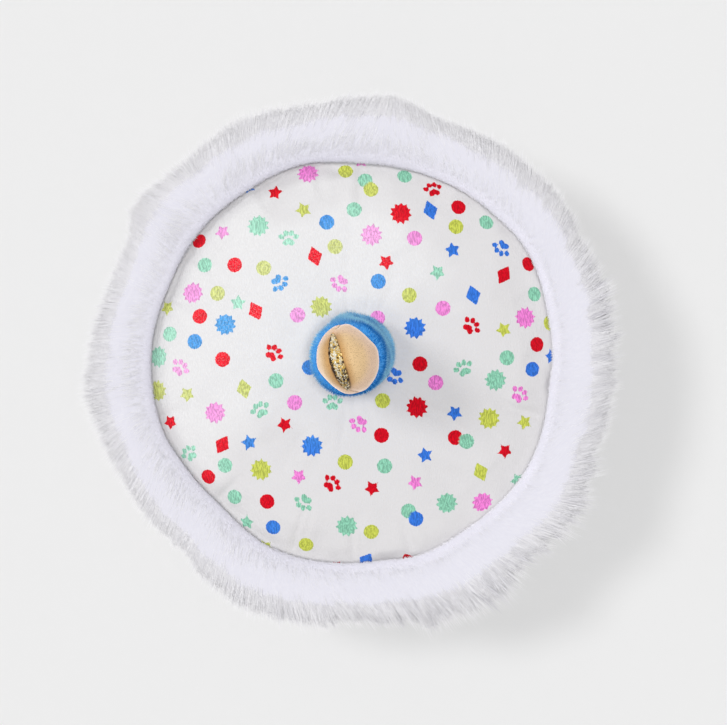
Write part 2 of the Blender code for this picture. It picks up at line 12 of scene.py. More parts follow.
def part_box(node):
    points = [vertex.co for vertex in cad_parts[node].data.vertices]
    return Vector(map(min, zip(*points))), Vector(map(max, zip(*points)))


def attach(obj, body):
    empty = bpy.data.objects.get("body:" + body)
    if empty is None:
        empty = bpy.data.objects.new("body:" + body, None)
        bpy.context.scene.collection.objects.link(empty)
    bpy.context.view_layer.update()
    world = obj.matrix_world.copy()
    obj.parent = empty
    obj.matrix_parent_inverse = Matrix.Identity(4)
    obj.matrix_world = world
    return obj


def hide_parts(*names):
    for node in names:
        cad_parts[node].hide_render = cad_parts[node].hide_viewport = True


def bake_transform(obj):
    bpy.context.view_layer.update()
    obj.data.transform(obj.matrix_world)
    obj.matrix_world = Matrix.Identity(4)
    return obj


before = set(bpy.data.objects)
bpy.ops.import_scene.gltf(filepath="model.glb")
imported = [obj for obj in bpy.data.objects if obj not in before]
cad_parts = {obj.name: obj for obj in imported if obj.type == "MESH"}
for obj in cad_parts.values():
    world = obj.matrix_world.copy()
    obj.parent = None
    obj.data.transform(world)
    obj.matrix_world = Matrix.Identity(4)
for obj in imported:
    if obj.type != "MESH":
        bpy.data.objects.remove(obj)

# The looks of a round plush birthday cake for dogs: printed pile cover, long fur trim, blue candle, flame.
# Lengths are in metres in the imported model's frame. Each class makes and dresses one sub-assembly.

MM = 0.001
TURN = 2 * math.pi
UPRIGHT = np.array((0.0, 0.0, 1.0))
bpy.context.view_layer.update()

Array = np.ndarray
Colour = tuple[float, float, float]
Piece = bpy.types.Object
Material = bpy.types.Material
Node = bpy.types.Node
Socket = bpy.types.NodeSocket
log = logging.getLogger("birthday_cake_toy")


# Numbers and noise


def eased(share: Array) -> Array:
    """Eases a share from 0 to 1, held between them first: three squares less two cubes."""
    held = np.clip(share, 0.0, 1.0)
    return held * held * (3.0 - 2.0 * held)


def unit(vectors: Array) -> Array:
    """Vectors along the last axis, each divided by its length."""
    return vectors / np.maximum(np.linalg.norm(vectors, axis=-1, keepdims=True), 1e-12)


def hump(offset: Array, width: float) -> Array:
    """A bell: e to the power of minus the square of the offset, which is counted in widths."""
    return np.exp(-((offset / width) ** 2))


def towards(angle: Array, degrees: float) -> Array:
    """How much an angle looks towards a heading, from 0 to 1: half of 1 and the cosine between them."""
    return 0.5 + 0.5 * np.cos(angle - math.radians(degrees))


def shorter_way(angle: Array, start: Array) -> Array:
    """The shorter way round from a start to an angle, between minus and plus half a turn."""
    return (angle - start + math.pi) % TURN - math.pi


def ring_angles(count: int) -> Array:
    """Angles of a ring's columns, as one row, anticlockwise from +X."""
    return np.linspace(0.0, TURN, count, endpoint=False)[None, :]


def round_places(radius: Array, angle: Array, height: Array) -> Array:
    """Points at a radius, an angle and a height round the Z axis."""
    return np.stack(np.broadcast_arrays(radius * np.cos(angle), radius * np.sin(angle), height), axis=-1)


class Lattice:
    """Smooth noise from -1 to 1: random values at the corners of a wrapped lattice, eased between them."""

    def __init__(self, seed: int, cells: int = 64) -> None:
        """Draws the corner values from a seed, for so many cells along each side."""
        self.cells = cells
        self.values = np.random.default_rng(seed).uniform(-1.0, 1.0, (cells, cells))

    def at(self, x: Array, y: Array) -> Array:
        """Reads the noise.

        Args:
            x, y: Coordinates, in cells.

        Returns:
            One value for each pair.
        """
        x, y = np.broadcast_arrays(np.asarray(x, float), np.asarray(y, float))
        column, row = np.floor(x).astype(int), np.floor(y).astype(int)
        across, up = eased(x - column), eased(y - row)
        left, right = column % self.cells, (column + 1) % self.cells
        low, high = row % self.cells, (row + 1) % self.cells
        below = self.values[low, left] * (1.0 - across) + self.values[low, right] * across
        above = self.values[high, left] * (1.0 - across) + self.values[high, right] * across
        return below * (1.0 - up) + above * up

    def layered(self, x: Array, y: Array) -> Array:
        """The noise, and half as much of it again, twice as fine."""
        return self.at(x, y) + self.at(x * 2 + 7.3, y * 2) / 2


def round_noise(angle: Array, waves: int, seed: int, up: Array = 0.0) -> Array:
    """Smooth noise that closes on itself after a full turn, with so many waves in it, at rows up."""
    return Lattice(seed, waves).at(angle / TURN * waves, up)


def spline_weights(places: Array, count: int, wrapped: bool) -> Array:
    """Weights that carry a coarse row of values to finer places by a uniform cubic B-spline.

    Args:
        places: Where to read, in steps of the coarse row.
        count: Number of coarse values.
        wrapped: Whether the row closes on itself.

    Returns:
        A matrix of len(places) rows and count columns.
    """
    first = np.floor(places).astype(int)
    part = places - first
    middle = (3 * part**3 - 6 * part**2 + 4) / 6
    following = (-3 * part**3 + 3 * part**2 + 3 * part + 1) / 6
    shares = np.stack(((1 - part) ** 3 / 6, middle, following, part**3 / 6), axis=1)
    columns = first[:, None] + np.arange(-1, 3)
    columns = columns % count if wrapped else np.clip(columns, 0, count - 1)
    weights = np.zeros((len(places), count))
    np.add.at(weights, (np.arange(len(places))[:, None], columns), shares)
    return weights


# Meshes


def grid_faces(rows: int, columns: int, wrapped: bool) -> Array:
    """Quads of a grid whose rows run outwards or down, and whose columns run anticlockwise.

    Args:
        rows: Rows of points.
        columns: Points in a row.
        wrapped: Whether the last column joins the first.

    Returns:
        An array of quads that face outwards.
    """
    row = np.arange(rows - 1)[:, None] * columns
    column = np.arange(columns if wrapped else columns - 1)[None, :]
    following = (column + 1) % columns
    corners = (row + column, row + columns + column, row + columns + following, row + following)
    return np.stack(corners, axis=-1).reshape(-1, 4)


def closed_form(grid: Array, top: Array | None, bottom: Array | None) -> tuple[Array, list[Array]]:
    """Closes a wrapped grid with a fan of triangles from a middle point, at one end or both.

    Args:
        grid: Rows of points, outwards or down.
        top, bottom: Middle point inside the first and the last row, or None where that end is open.

    Returns:
        The points with the middle ones after them, and the faces.
    """
    rows, columns = grid.shape[:2]
    points, faces = [grid.reshape(-1, 3)], [grid_faces(rows, columns, True)]
    around = np.arange(columns)
    following = (around + 1) % columns
    last = (rows - 1) * columns
    for middle, first, second in ((top, around, following), (bottom, last + following, last + around)):
        if middle is not None:
            place = np.full(columns, rows * columns + len(points) - 1)
            faces.append(np.stack((place, first, second), axis=-1))
            points.append(np.reshape(middle, (1, 3)))
    return np.concatenate(points), faces


def make_piece(name: str, points: Array, faces: list[Array], smooth: bool = True) -> Piece:
    """Puts arrays of points and faces into a new object at the origin.

    Args:
        name: Name of the piece.
        points: Places, in the row frame.
        faces: Arrays of faces, one for each number of corners.
        smooth: Whether the piece is shaded smooth.

    Returns:
        The object.
    """
    mesh = bpy.data.meshes.new(name)
    points = points.reshape(-1, 3)
    counts = np.concatenate([np.full(len(part), part.shape[1]) for part in faces])
    corners = np.concatenate([part.ravel() for part in faces]).astype(np.int32)
    mesh.vertices.add(len(points))
    mesh.vertices.foreach_set("co", np.ascontiguousarray(points, np.float32).ravel())
    mesh.loops.add(len(corners))
    mesh.loops.foreach_set("vertex_index", corners)
    mesh.polygons.add(len(counts))
    mesh.polygons.foreach_set("loop_start", (np.cumsum(counts) - counts).astype(np.int32))
    mesh.polygons.foreach_set("use_smooth", np.full(len(counts), smooth))
    mesh.update(calc_edges=True)
    made = bpy.data.objects.new(name, mesh)
    bpy.context.scene.collection.objects.link(made)
    return made


def mark_points(piece: Piece, **marks: Array) -> None:
    """Keeps numbers, vectors or colours with alpha for a piece's points, under names that materials read.

    Args:
        piece: The piece.
        marks: For each name, values for the points, in any shape that has one, three or four a point.
    """
    kinds = {1: ("FLOAT", "value"), 3: ("FLOAT_VECTOR", "vector"), 4: ("FLOAT_COLOR", "color")}
    for name, values in marks.items():
        kind, field = kinds[values.size // len(piece.data.vertices)]
        attribute = piece.data.attributes.new(name, kind, "POINT")
        attribute.data.foreach_set(field, np.ascontiguousarray(values, np.float32).ravel())


def dress(piece: Piece, material: Material) -> None:
    """Gives a piece its material and logs it.

    Args:
        piece: The piece.
        material: Its finish.
    """
    piece.data.materials.append(material)
    log.info("%s: %d points, %d faces", piece.name, len(piece.data.vertices), len(piece.data.polygons))


def set_shading(piece: Piece, normals: Array) -> None:
    """Gives each point of a piece the direction that it shades by."""
    piece.data.normals_split_custom_set_from_vertices(normals.reshape(-1, 3).tolist())


def grid_normals(grid: Array, wrapped: bool) -> Array:
    """Outward normals of a grid: its step along the columns crossed with its step round the rows."""
    around = np.roll(grid, -1, axis=1) - np.roll(grid, 1, axis=1) if wrapped else np.gradient(grid, axis=1)
    return unit(np.cross(np.gradient(grid, axis=0), around))


@dataclass
class Strands:
    """Hairs as slim three-sided spikes, open only at the root, which is buried."""

    paths: Array
    widths: Array
    tones: Array
    faces_out: Array
    softness: Array

    def picked(self, part: Array) -> "Strands":
        """Some of the hairs."""
        return Strands(*(values[part] for values in vars(self).values()))

    def piece(self, name: str) -> Piece:
        """Makes the mesh, with its marks and its soft shading.

        Each hair has three points round its path at every step but the last, which is its tip. Where it lies
        flat, its shading leans from its own round side towards faces_out, the direction in which the whole
        pile faces, so that flat pile shades as one soft mass and hairs that stand out shade by themselves.

        Args:
            name: Name of the piece.

        Returns:
            The piece.
        """
        count, rows, _ = self.paths.shape
        tangent = unit(np.gradient(self.paths, axis=1))[:, :-1]
        beside = unit(np.cross(tangent, self.faces_out[:, None]) + 1e-6)
        third = np.cross(tangent, beside)
        turns = np.arange(3) * TURN / 3 + math.pi / 2
        ring = beside[:, :, None] * np.cos(turns)[:, None] + third[:, :, None] * np.sin(turns)[:, None]
        sides = self.paths[:, :-1, None] + ring * self.widths[:, :, None, None]
        per_hair = 3 * (rows - 1) + 1
        points = np.concatenate((sides.reshape(count, -1, 3), self.paths[:, -1:]), axis=1)
        base = np.arange(count)[:, None, None, None] * per_hair
        step = np.arange(rows - 2)[None, :, None, None] * 3
        corner = np.arange(3)[None, None, :, None]
        following = (corner + 1) % 3
        quads = base + step + np.concatenate((corner, following, following + 3, corner + 3), axis=-1)
        last = 3 * (rows - 2)
        tips = np.broadcast_arrays(last + corner, last + following, 0 * corner + per_hair - 1)
        tips = base[:, 0] + np.concatenate(tips, axis=-1)[0]
        faces = [tips.reshape(-1, 3), quads.reshape(-1, 4)]
        made = make_piece(name, points, [part for part in faces if len(part)])
        along = np.append(np.repeat(np.linspace(0.0, 1.0, rows)[:-1], 3), 1.0)
        mark_points(made, along=np.tile(along, count), tone=np.repeat(self.tones, per_hair))
        flat = self.softness[:, None] * (1.0 - 0.6 * (tangent * self.faces_out[:, None]).sum(-1) ** 2)
        flat = np.concatenate((np.repeat(flat, 3, axis=1), flat[:, -1:]), axis=1)[..., None]
        round_side = np.concatenate((ring.reshape(count, -1, 3), tangent[:, -1:]), axis=1)
        set_shading(made, unit(round_side * (1.0 - flat) + self.faces_out[:, None] * flat))
        return made


# Shader nodes


class Board:
    """Places shader nodes in one tree and joins them."""

    def __init__(self, tree: bpy.types.NodeTree) -> None:
        """Keeps the tree."""
        self.tree = tree

    def add(self, kind: str, settings: dict | None = None, **inputs: object) -> Node:
        """Adds a node.

        Args:
            kind: The type's name after ShaderNode, or whole where it doesn't start so.
            settings: Properties of the node.
            inputs: Values or sockets for its inputs; an underscore stands for a space.

        Returns:
            The node.
        """
        node = self.tree.nodes.new(kind if kind.startswith("NodeGroup") else f"ShaderNode{kind}")
        for name, value in (settings or {}).items():
            setattr(node, name, value)
        self.fill(node, **inputs)
        return node

    def fill(self, node: Node, **inputs: object) -> None:
        """Feeds a node's inputs by their names; an underscore stands for a space."""
        for name, value in inputs.items():
            self.feed(node, name.replace("_", " "), value)

    def feed(self, node: Node, name: str | int, value: object) -> None:
        """Joins a socket to an input of a node, or sets the input's value.

        Args:
            node: The node.
            name: Name or place of the input.
            value: The socket, a number, or a vector or colour.
        """
        target = node.inputs[name]
        if isinstance(value, Socket):
            self.tree.links.new(value, target)
        else:
            target.default_value = value

    def placed(self, node: Node, values: dict[int, object], output: int = 0) -> Socket:
        """Feeds inputs by their places and returns one output.

        Args:
            node: The node.
            values: What goes into each input.
            output: Place of the output.

        Returns:
            The output.
        """
        for place, value in values.items():
            self.feed(node, place, value)
        return node.outputs[output]

    def math(self, operation: str, *values: object) -> Socket:
        """Adds a Math node."""
        return self.placed(self.add("Math", {"operation": operation}), dict(enumerate(values)))

    def blend(self, share: object, first: object, second: object, mode: str = "MIX") -> Socket:
        """Adds a colour Mix node.

        Args:
            share: How much of the second there is.
            first, second: Sockets, or colours as three numbers.
            mode: How they are mixed.

        Returns:
            Its colour.
        """
        first, second = ((*value, 1.0) if isinstance(value, tuple) else value for value in (first, second))
        node = self.add("Mix", {"data_type": "RGBA", "blend_type": mode})
        return self.placed(node, {0: share, 6: first, 7: second}, 2)

    def steps(self, value: object, low: float, high: float, start: float = 0.0, end: float = 1.0) -> Socket:
        """Maps a value smoothly from low..high to start..end."""
        node = self.add("MapRange", {"interpolation_type": "SMOOTHSTEP"})
        return self.placed(node, dict(enumerate((value, low, high, start, end))))

    def read(self, name: str, output: str = "Fac") -> Socket:
        """Reads a mark that a piece keeps for its points."""
        return self.add("Attribute", {"attribute_name": name}).outputs[output]

    def noise(self, place: Socket, **inputs: float) -> Socket:
        """Adds a noise texture and returns its value."""
        return self.add("TexNoise", Vector=place, **inputs).outputs["Fac"]

    def nap(self, place: Socket, streaks: float, patches: float) -> Node:
        """Places the group of the short pile's nap, with the scales of its streaks and of its soft patches."""
        return self.add("Group", {"node_tree": nap_group()}, Place=place, Streaks=streaks, Patches=patches)

    def bump(self, shader: Node, strength: float, distance: float, height: Socket) -> None:
        """Gives a shader the relief of a height."""
        node = self.add("Bump", Strength=strength, Distance=distance, Height=height)
        self.feed(shader, "Normal", node.outputs[0])


def new_material(name: str) -> tuple[Material, Board, Node]:
    """Makes a material with an empty Principled shader.

    Args:
        name: Name of the material.

    Returns:
        The material, its board, and its Principled node.
    """
    material = bpy.data.materials.new(name)
    material.use_nodes = True
    material.node_tree.nodes.clear()
    board = Board(material.node_tree)
    shader = board.add("BsdfPrincipled")
    board.add("OutputMaterial", Surface=shader.outputs[0])
    return material, board, shader


@cache
def nap_group() -> bpy.types.NodeTree:
    """The nap of short pile: fine streaks that lean one way, mixed with soft patches of combed nap.

    Returns:
        A group with the place on the cloth, the streak's size and the grain's size as inputs, and a streak
        value, a patch value and a height as outputs.
    """
    tree = bpy.data.node_groups.new("short_pile_nap", "ShaderNodeTree")
    tree.interface.new_socket("Place", in_out="INPUT", socket_type="NodeSocketVector")
    for direction, names in (("INPUT", ("Streaks", "Patches")), ("OUTPUT", ("Streak", "Patch", "Height"))):
        for name in names:
            tree.interface.new_socket(name, in_out=direction, socket_type="NodeSocketFloat")
    board = Board(tree)
    given = board.add("NodeGroupInput")
    place, patches = given.outputs["Place"], given.outputs["Patches"]
    lean = (0.0, 0.0, math.radians(38))
    combed = board.add("Mapping", Vector=place, Rotation=lean, Scale=(1.0, 0.34, 1.0))
    sway = board.add("TexNoise", Vector=place, Scale=patches, Detail=2.0)
    bend = board.add("VectorMath", {"operation": "MULTIPLY_ADD"})
    bent = board.placed(bend, {0: sway.outputs["Color"], 1: (0.004, 0.004, 0.0), 2: combed.outputs[0]})
    streak = board.steps(
        board.noise(bent, Scale=given.outputs["Streaks"], Detail=3.0, Roughness=0.62), 0.3, 0.7
    )
    patch = board.steps(board.noise(place, Scale=patches, Detail=3.0), 0.3, 0.7)
    height = board.math("MULTIPLY_ADD", patch, 0.5, streak)
    board.add("NodeGroupOutput", Streak=streak, Patch=patch, Height=height)
    return tree


# Finishes


@dataclass(frozen=True)
class PrintedPile:
    """White short pile with a confetti print: where it stands open and in painted light it is flecked with
    white, and its white is darker where it lies flat and in painted shade.
    """

    ground: Colour = (0.93, 0.925, 0.925)
    ground_shade: Colour = (0.845, 0.835, 0.845)
    ground_shut_and_shaded: Colour = (0.79, 0.775, 0.785)
    fleck: Colour = (0.95, 0.95, 0.95)
    fleck_scale: float = 1500.0
    fleck_share: float = 0.2
    dye_levels: tuple[float, float] = (0.78, 1.38)
    fray: float = 0.34
    edge: float = 0.14
    streaks: float = 1500.0
    patches: float = 70.0
    roughness: float = 0.92
    specular: float = 0.2
    sheen: float = 0.04
    sheen_spread: float = 0.5
    bump: float = 0.4
    bump_depth: float = 0.35 * MM

    def material(self) -> Material:
        """Builds the material from the marks print_distance (mm), print_colour, brushed and cloth_place."""
        material, board, shader = new_material("printed_pile")
        place = board.read("cloth_place", "Vector")
        brushed = board.read("brushed")
        nap = board.nap(place, self.streaks, self.patches)
        streak, patch = nap.outputs["Streak"], nap.outputs["Patch"]
        flecks = board.noise(place, Scale=self.fleck_scale, Detail=2.0, Roughness=0.6)
        white = board.blend(board.math("MULTIPLY", streak, 0.75), self.ground_shade, self.ground)
        white = board.blend(board.math("MULTIPLY", patch, 0.2), white, self.ground_shade)
        # Painted shade: the white darkens to ground_shut_and_shaded where brushed is low, together with the flat
        # pile.
        white = board.blend(board.steps(brushed, 0.05, 0.75, 1.0, 0.0), white, self.ground_shut_and_shaded)
        level = board.steps(streak, 0.0, 1.0, *self.dye_levels)
        tint = board.add("CombineColor", Red=level, Green=level, Blue=level)
        dye = board.blend(1.0, board.read("print_colour", "Color"), tint.outputs[0], "MULTIPLY")
        # White flecks of the open pile's tips, more where brushed is high, so they also follow its painted
        # light.
        open_and_lit_pile = board.math("MULTIPLY", board.math("POWER", brushed, 2.0), self.fleck_share)
        dye = board.blend(board.math("MULTIPLY", open_and_lit_pile, board.steps(flecks, 0.46, 0.64)), dye, self.fleck)
        fray = board.math("SUBTRACT", streak, 0.5)
        frayed = board.math("MULTIPLY_ADD", fray, self.fray, board.read("print_distance"))
        inked = board.steps(frayed, -self.edge, self.edge, 1.0, 0.0)
        board.fill(
            shader, Base_Color=board.blend(inked, white, dye), Roughness=self.roughness,
            Specular_IOR_Level=self.specular, Sheen_Weight=self.sheen, Sheen_Roughness=self.sheen_spread,
        )
        board.bump(shader, self.bump, self.bump_depth, board.math("ADD", nap.outputs["Height"], flecks))
        return material


@dataclass(frozen=True)
class HairFinish:
    """Hairs that shade from root to tip, some of them towards a deeper tone: a random tone, and painted shade
    where a piece's mark tone carries it.
    """

    name: str
    root: Colour
    tip: Colour
    deep: Colour
    roughness: float = 0.7
    specular: float = 0.3
    tipped: float = 0.9

    def material(self) -> Material:
        """Builds the material from the marks along and tone."""
        material, board, shader = new_material(self.name)
        shade = board.blend(board.steps(board.read("along"), 0.0, self.tipped), self.root, self.tip)
        tone = board.blend(board.read("tone"), self.deep, shade)
        board.fill(shader, Base_Color=tone, Roughness=self.roughness, Specular_IOR_Level=self.specular)
        return material


@dataclass(frozen=True)
class NappedCloth:
    """A cloth's ground under its pile: two close tones in the nap's streaks, with a soft sheen."""

    name: str
    light: Colour
    dark: Colour
    streaks: float
    patches: float
    sheen: float
    sheen_tint: Colour = (1.0, 1.0, 1.0)
    sheen_spread: float = 0.45
    specular: float = 0.2
    roughness: float = 0.9
    bump: float = 0.3
    bump_depth: float = 0.3 * MM
    # deep: a colour for painted shade, where the mark tone paints it.
    deep: Colour | None = None

    def material(self) -> Material:
        """Builds the material, on each point's place at rest and, if it has a deep tone, the mark tone."""
        material, board, shader = new_material(self.name)
        nap = board.nap(board.read("rest_place", "Vector"), self.streaks, self.patches)
        tone = board.blend(nap.outputs["Streak"], self.dark, self.light)
        tone = board.blend(board.math("MULTIPLY", nap.outputs["Patch"], 0.4), tone, self.dark)
        if self.deep:
            tone = board.blend(board.read("tone"), self.deep, tone)
        board.fill(
            shader, Base_Color=tone, Roughness=self.roughness, Specular_IOR_Level=self.specular,
            Sheen_Weight=self.sheen, Sheen_Roughness=self.sheen_spread, Sheen_Tint=(*self.sheen_tint, 1.0),
        )
        board.bump(shader, self.bump, self.bump_depth, nap.outputs["Height"])
        return material


@dataclass(frozen=True)
class TanVelour:
    """Short tan nap: painted shade, orange, in the groove beside the gold, and painted sheen, paler and pinker,
    towards the rim.
    """

    crown: Colour = (1.0, 0.70, 0.37)
    thread: Colour = (0.16, 0.06, 0.02)
    # groove: colour of the painted shade beside the gold. rim: colour of the painted sheen towards the rim.
    groove: Colour = (0.62, 0.33, 0.10)
    rim: Colour = (1.0, 0.71, 0.50)
    grain: Colour = (0.36, 0.17, 0.06)
    grain_scale: float = 1700.0
    grain_share: float = 0.42
    patch_scale: float = 260.0
    patch_share: float = 0.12
    groove_reach: float = 4.5
    groove_share: float = 0.85
    rim_start: float = 0.45
    rim_full: float = 0.8
    roughness: float = 0.9
    sheen: float = 0.8
    sheen_spread: float = 0.35
    sheen_tint: Colour = (1.0, 0.86, 0.78)
    bump: float = 0.4
    bump_depth: float = 0.12 * MM

    def material(self) -> Material:
        """Builds the material from the marks seam_distance (mm), seam_line, cheek_share and rest_place."""
        material, board, shader = new_material("tan_velour")
        place = board.read("rest_place", "Vector")
        grain = board.noise(place, Scale=self.grain_scale, Detail=2.0, Roughness=0.7)
        patch = board.steps(board.noise(place, Scale=self.patch_scale, Detail=2.0), 0.4, 0.7)
        # Painted shade near the seam with the gold, and painted sheen towards the cheek's rim.
        near = board.steps(board.read("seam_distance"), 0.0, self.groove_reach, self.groove_share, 0.0)
        tone = board.blend(near, self.crown, self.groove)
        tone = board.blend(board.steps(board.read("cheek_share"), self.rim_start, self.rim_full), tone, self.rim)
        tone = board.blend(board.math("MULTIPLY", patch, self.patch_share), tone, self.groove)
        specks = board.math("MULTIPLY", board.steps(grain, 0.54, 0.63), self.grain_share)
        tone = board.blend(specks, tone, self.grain)
        board.fill(
            shader, Base_Color=board.blend(board.read("seam_line"), tone, self.thread), Roughness=self.roughness,
            Sheen_Weight=self.sheen, Sheen_Roughness=self.sheen_spread, Sheen_Tint=(*self.sheen_tint, 1.0),
        )
        board.bump(shader, self.bump, self.bump_depth, grain)
        return material


@dataclass(frozen=True)
class GoldCloth:
    """Crinkled lame: bright foil with worn brown gaps where its knitted ground shows, painted glints along its
    middle, and painted shade in the same dark brown along its left edge.
    """

    foil: Colour = (0.84, 0.57, 0.15)
    # glint: colour of the painted glints. gap: the bare knit's dark brown, also used for the painted shade at
    # the left edge.
    glint: Colour = (1.0, 0.96, 0.80)
    gap: Colour = (0.04, 0.016, 0.004)
    knit_scale: float = 1100.0
    wear_scale: float = 620.0
    glint_scale: float = 640.0
    middle_kept: float = -0.14
    edge_rubbed_and_shaded: float = 0.16
    metallic: float = 0.35
    foil_roughness: float = 0.3
    gap_roughness: float = 0.8
    bump: float = 0.7
    bump_depth: float = 0.25 * MM

    def material(self) -> Material:
        """Builds the material on each point's place at rest, and the marks middle_share and worn_share."""
        material, board, shader = new_material("gold_cloth")
        place = board.read("rest_place", "Vector")
        middle, rubbed_and_shaded = board.read("middle_share"), board.read("worn_share")
        knit = board.add("TexVoronoi", {"feature": "DISTANCE_TO_EDGE"}, Vector=place, Scale=self.knit_scale)
        knit = knit.outputs["Distance"]
        wear = board.noise(place, Scale=self.wear_scale, Detail=3.0, Roughness=0.7)
        shine = board.noise(place, Scale=self.glint_scale, Detail=2.0, Roughness=0.7)
        # Bare spots: noise, fewer in the middle, more where worn_share holds the lower end's worn knit and the
        # left edge's painted shade.
        worn = board.math("MULTIPLY_ADD", middle, self.middle_kept, wear)
        worn = board.math("MULTIPLY_ADD", rubbed_and_shaded, self.edge_rubbed_and_shaded, worn)
        mesh = board.math("MULTIPLY", board.steps(knit, 0.06, 0.14, 1.0, 0.0), rubbed_and_shaded)
        bare = board.math("MAXIMUM", board.steps(worn, 0.45, 0.48), mesh)
        # Painted glints: white patches laid on the foil along the middle.
        tone = board.blend(board.math("MULTIPLY", board.steps(shine, 0.48, 0.53), middle), self.foil, self.glint)
        board.fill(
            shader, Base_Color=board.blend(bare, tone, self.gap),
            Metallic=board.math("MULTIPLY", board.math("SUBTRACT", 1.0, bare), self.metallic),
            Roughness=board.steps(bare, 0.0, 1.0, self.foil_roughness, self.gap_roughness),
        )
        board.bump(shader, self.bump, self.bump_depth, board.math("ADD", knit, wear))
        return material


@dataclass(frozen=True)
class SoftPlastic:
    """The squeaker's milky polyethylene, with a faint moulded mottle."""

    light: Colour = (0.86, 0.85, 0.80)
    dark: Colour = (0.78, 0.77, 0.70)
    mottle_scale: float = 240.0
    roughness: float = 0.42
    milkiness: float = 0.15
    depth: float = 2 * MM

    def material(self) -> Material:
        """Builds the material on Object coordinates."""
        material, board, shader = new_material("squeaker_plastic")
        place = board.add("TexCoord").outputs["Object"]
        mottle = board.noise(place, Scale=self.mottle_scale, Detail=3.0)
        board.fill(
            shader, Base_Color=board.blend(mottle, self.dark, self.light), Roughness=self.roughness,
            Subsurface_Weight=self.milkiness, Subsurface_Scale=self.depth,
        )
        board.bump(shader, 0.2, 0.1 * MM, mottle)
        return material


# The print


class Shape(Enum):
    """Shapes of the confetti."""

    DOT = "dot"
    STAR = "star"
    BURST = "burst"
    DIAMOND = "diamond"
    PAW = "paw"


class Dye(Enum):
    """Inks of the print, in linear light: a deep one for flat pile and painted shade, and a pale one for open
    pile and painted light.
    """

    RED = (0.62, 0.0005, 0.012), (0.92, 0.012, 0.03)
    PINK = (0.80, 0.21, 0.61), (0.90, 0.40, 0.76)
    MINT = (0.25, 0.57, 0.41), (0.42, 0.78, 0.61)
    BLUE = (0.036, 0.175, 0.67), (0.09, 0.38, 0.80)
    LIME = (0.53, 0.58, 0.09), (0.64, 0.69, 0.25)


@dataclass(frozen=True)
class Confetti:
    """Distance to the edge of each of the print's shapes, in millimetres, and less than 0 inside."""

    dot_radius: float = 3.75
    star_radius: float = 4.3
    star_waist: float = 2.15
    star_points: int = 5
    burst_radius: float = 5.8
    burst_waist: float = 4.1
    burst_points: int = 11
    diamond_long: float = 4.7
    diamond_short: float = 3.4
    corner: float = 0.35
    toe_radius: float = 1.22
    toe_reach: float = 4.45
    toe_length: float = 0.82
    toe_turns: tuple[float, ...] = (-56.0, -18.0, 18.0, 56.0)
    pad_offset: float = 2.15
    pad_radius: float = 1.4
    pad_bend: float = 0.45
    pad_end: tuple[float, float] = (-0.55, 1.55)

    def spiked(self, u: Array, v: Array, points: int, outer: float, inner: float) -> Array:
        """Distance to a star: each half of a point is folded on to one straight edge.

        Args:
            u, v: Places from the star's middle.
            points: How many points it has.
            outer, inner: Radii of their tips and of the notches between them.

        Returns:
            The distances.
        """
        half = math.pi / points
        angle = np.abs((np.arctan2(v, u) + half) % (2 * half) - half)
        reach = np.hypot(u, v)
        x, y = reach * np.cos(angle), reach * np.sin(angle)
        edge_x, edge_y = inner * math.cos(half) - outer, inner * math.sin(half)
        return ((x - outer) * edge_y - y * edge_x) / math.hypot(edge_x, edge_y)

    def paw(self, u: Array, v: Array) -> Array:
        """Distance to four toes round a pad like a bent bean: two round-ended bars that meet in front.

        Args:
            u, v: Places along the paw and across it, from its middle.

        Returns:
            The distances.
        """
        u = u + self.pad_offset
        bar_u, bar_v = self.pad_end[0] - self.pad_bend, self.pad_end[1]
        share = ((u - self.pad_bend) * bar_u + np.abs(v) * bar_v) / (bar_u**2 + bar_v**2)
        share = np.clip(share, 0.0, 1.0)
        parts = [np.hypot(u - self.pad_bend - share * bar_u, np.abs(v) - share * bar_v) - self.pad_radius]
        for turn in np.radians(self.toe_turns):
            out = u * math.cos(turn) + v * math.sin(turn) - self.toe_reach
            aside = -u * math.sin(turn) + v * math.cos(turn)
            parts.append(np.hypot(out * self.toe_length, aside) - self.toe_radius)
        return np.minimum.reduce(parts)

    def distance(self, shape: Shape, u: Array, v: Array) -> Array:
        """Distance from places round a shape's middle to its edge.

        Args:
            shape: The shape.
            u, v: Places along its heading and across it.

        Returns:
            The distances.
        """
        if shape is Shape.DOT:
            return np.hypot(u, v) - self.dot_radius
        if shape is Shape.STAR:
            return self.spiked(u, v, self.star_points, self.star_radius, self.star_waist)
        if shape is Shape.BURST:
            return self.spiked(u, v, self.burst_points, self.burst_radius, self.burst_waist)
        if shape is Shape.DIAMOND:
            long, short = self.diamond_long, self.diamond_short
            share = np.abs(u) / long + np.abs(v) / short - 1.0
            return share * long * short / math.hypot(long, short) - self.corner
        return self.paw(u, v)


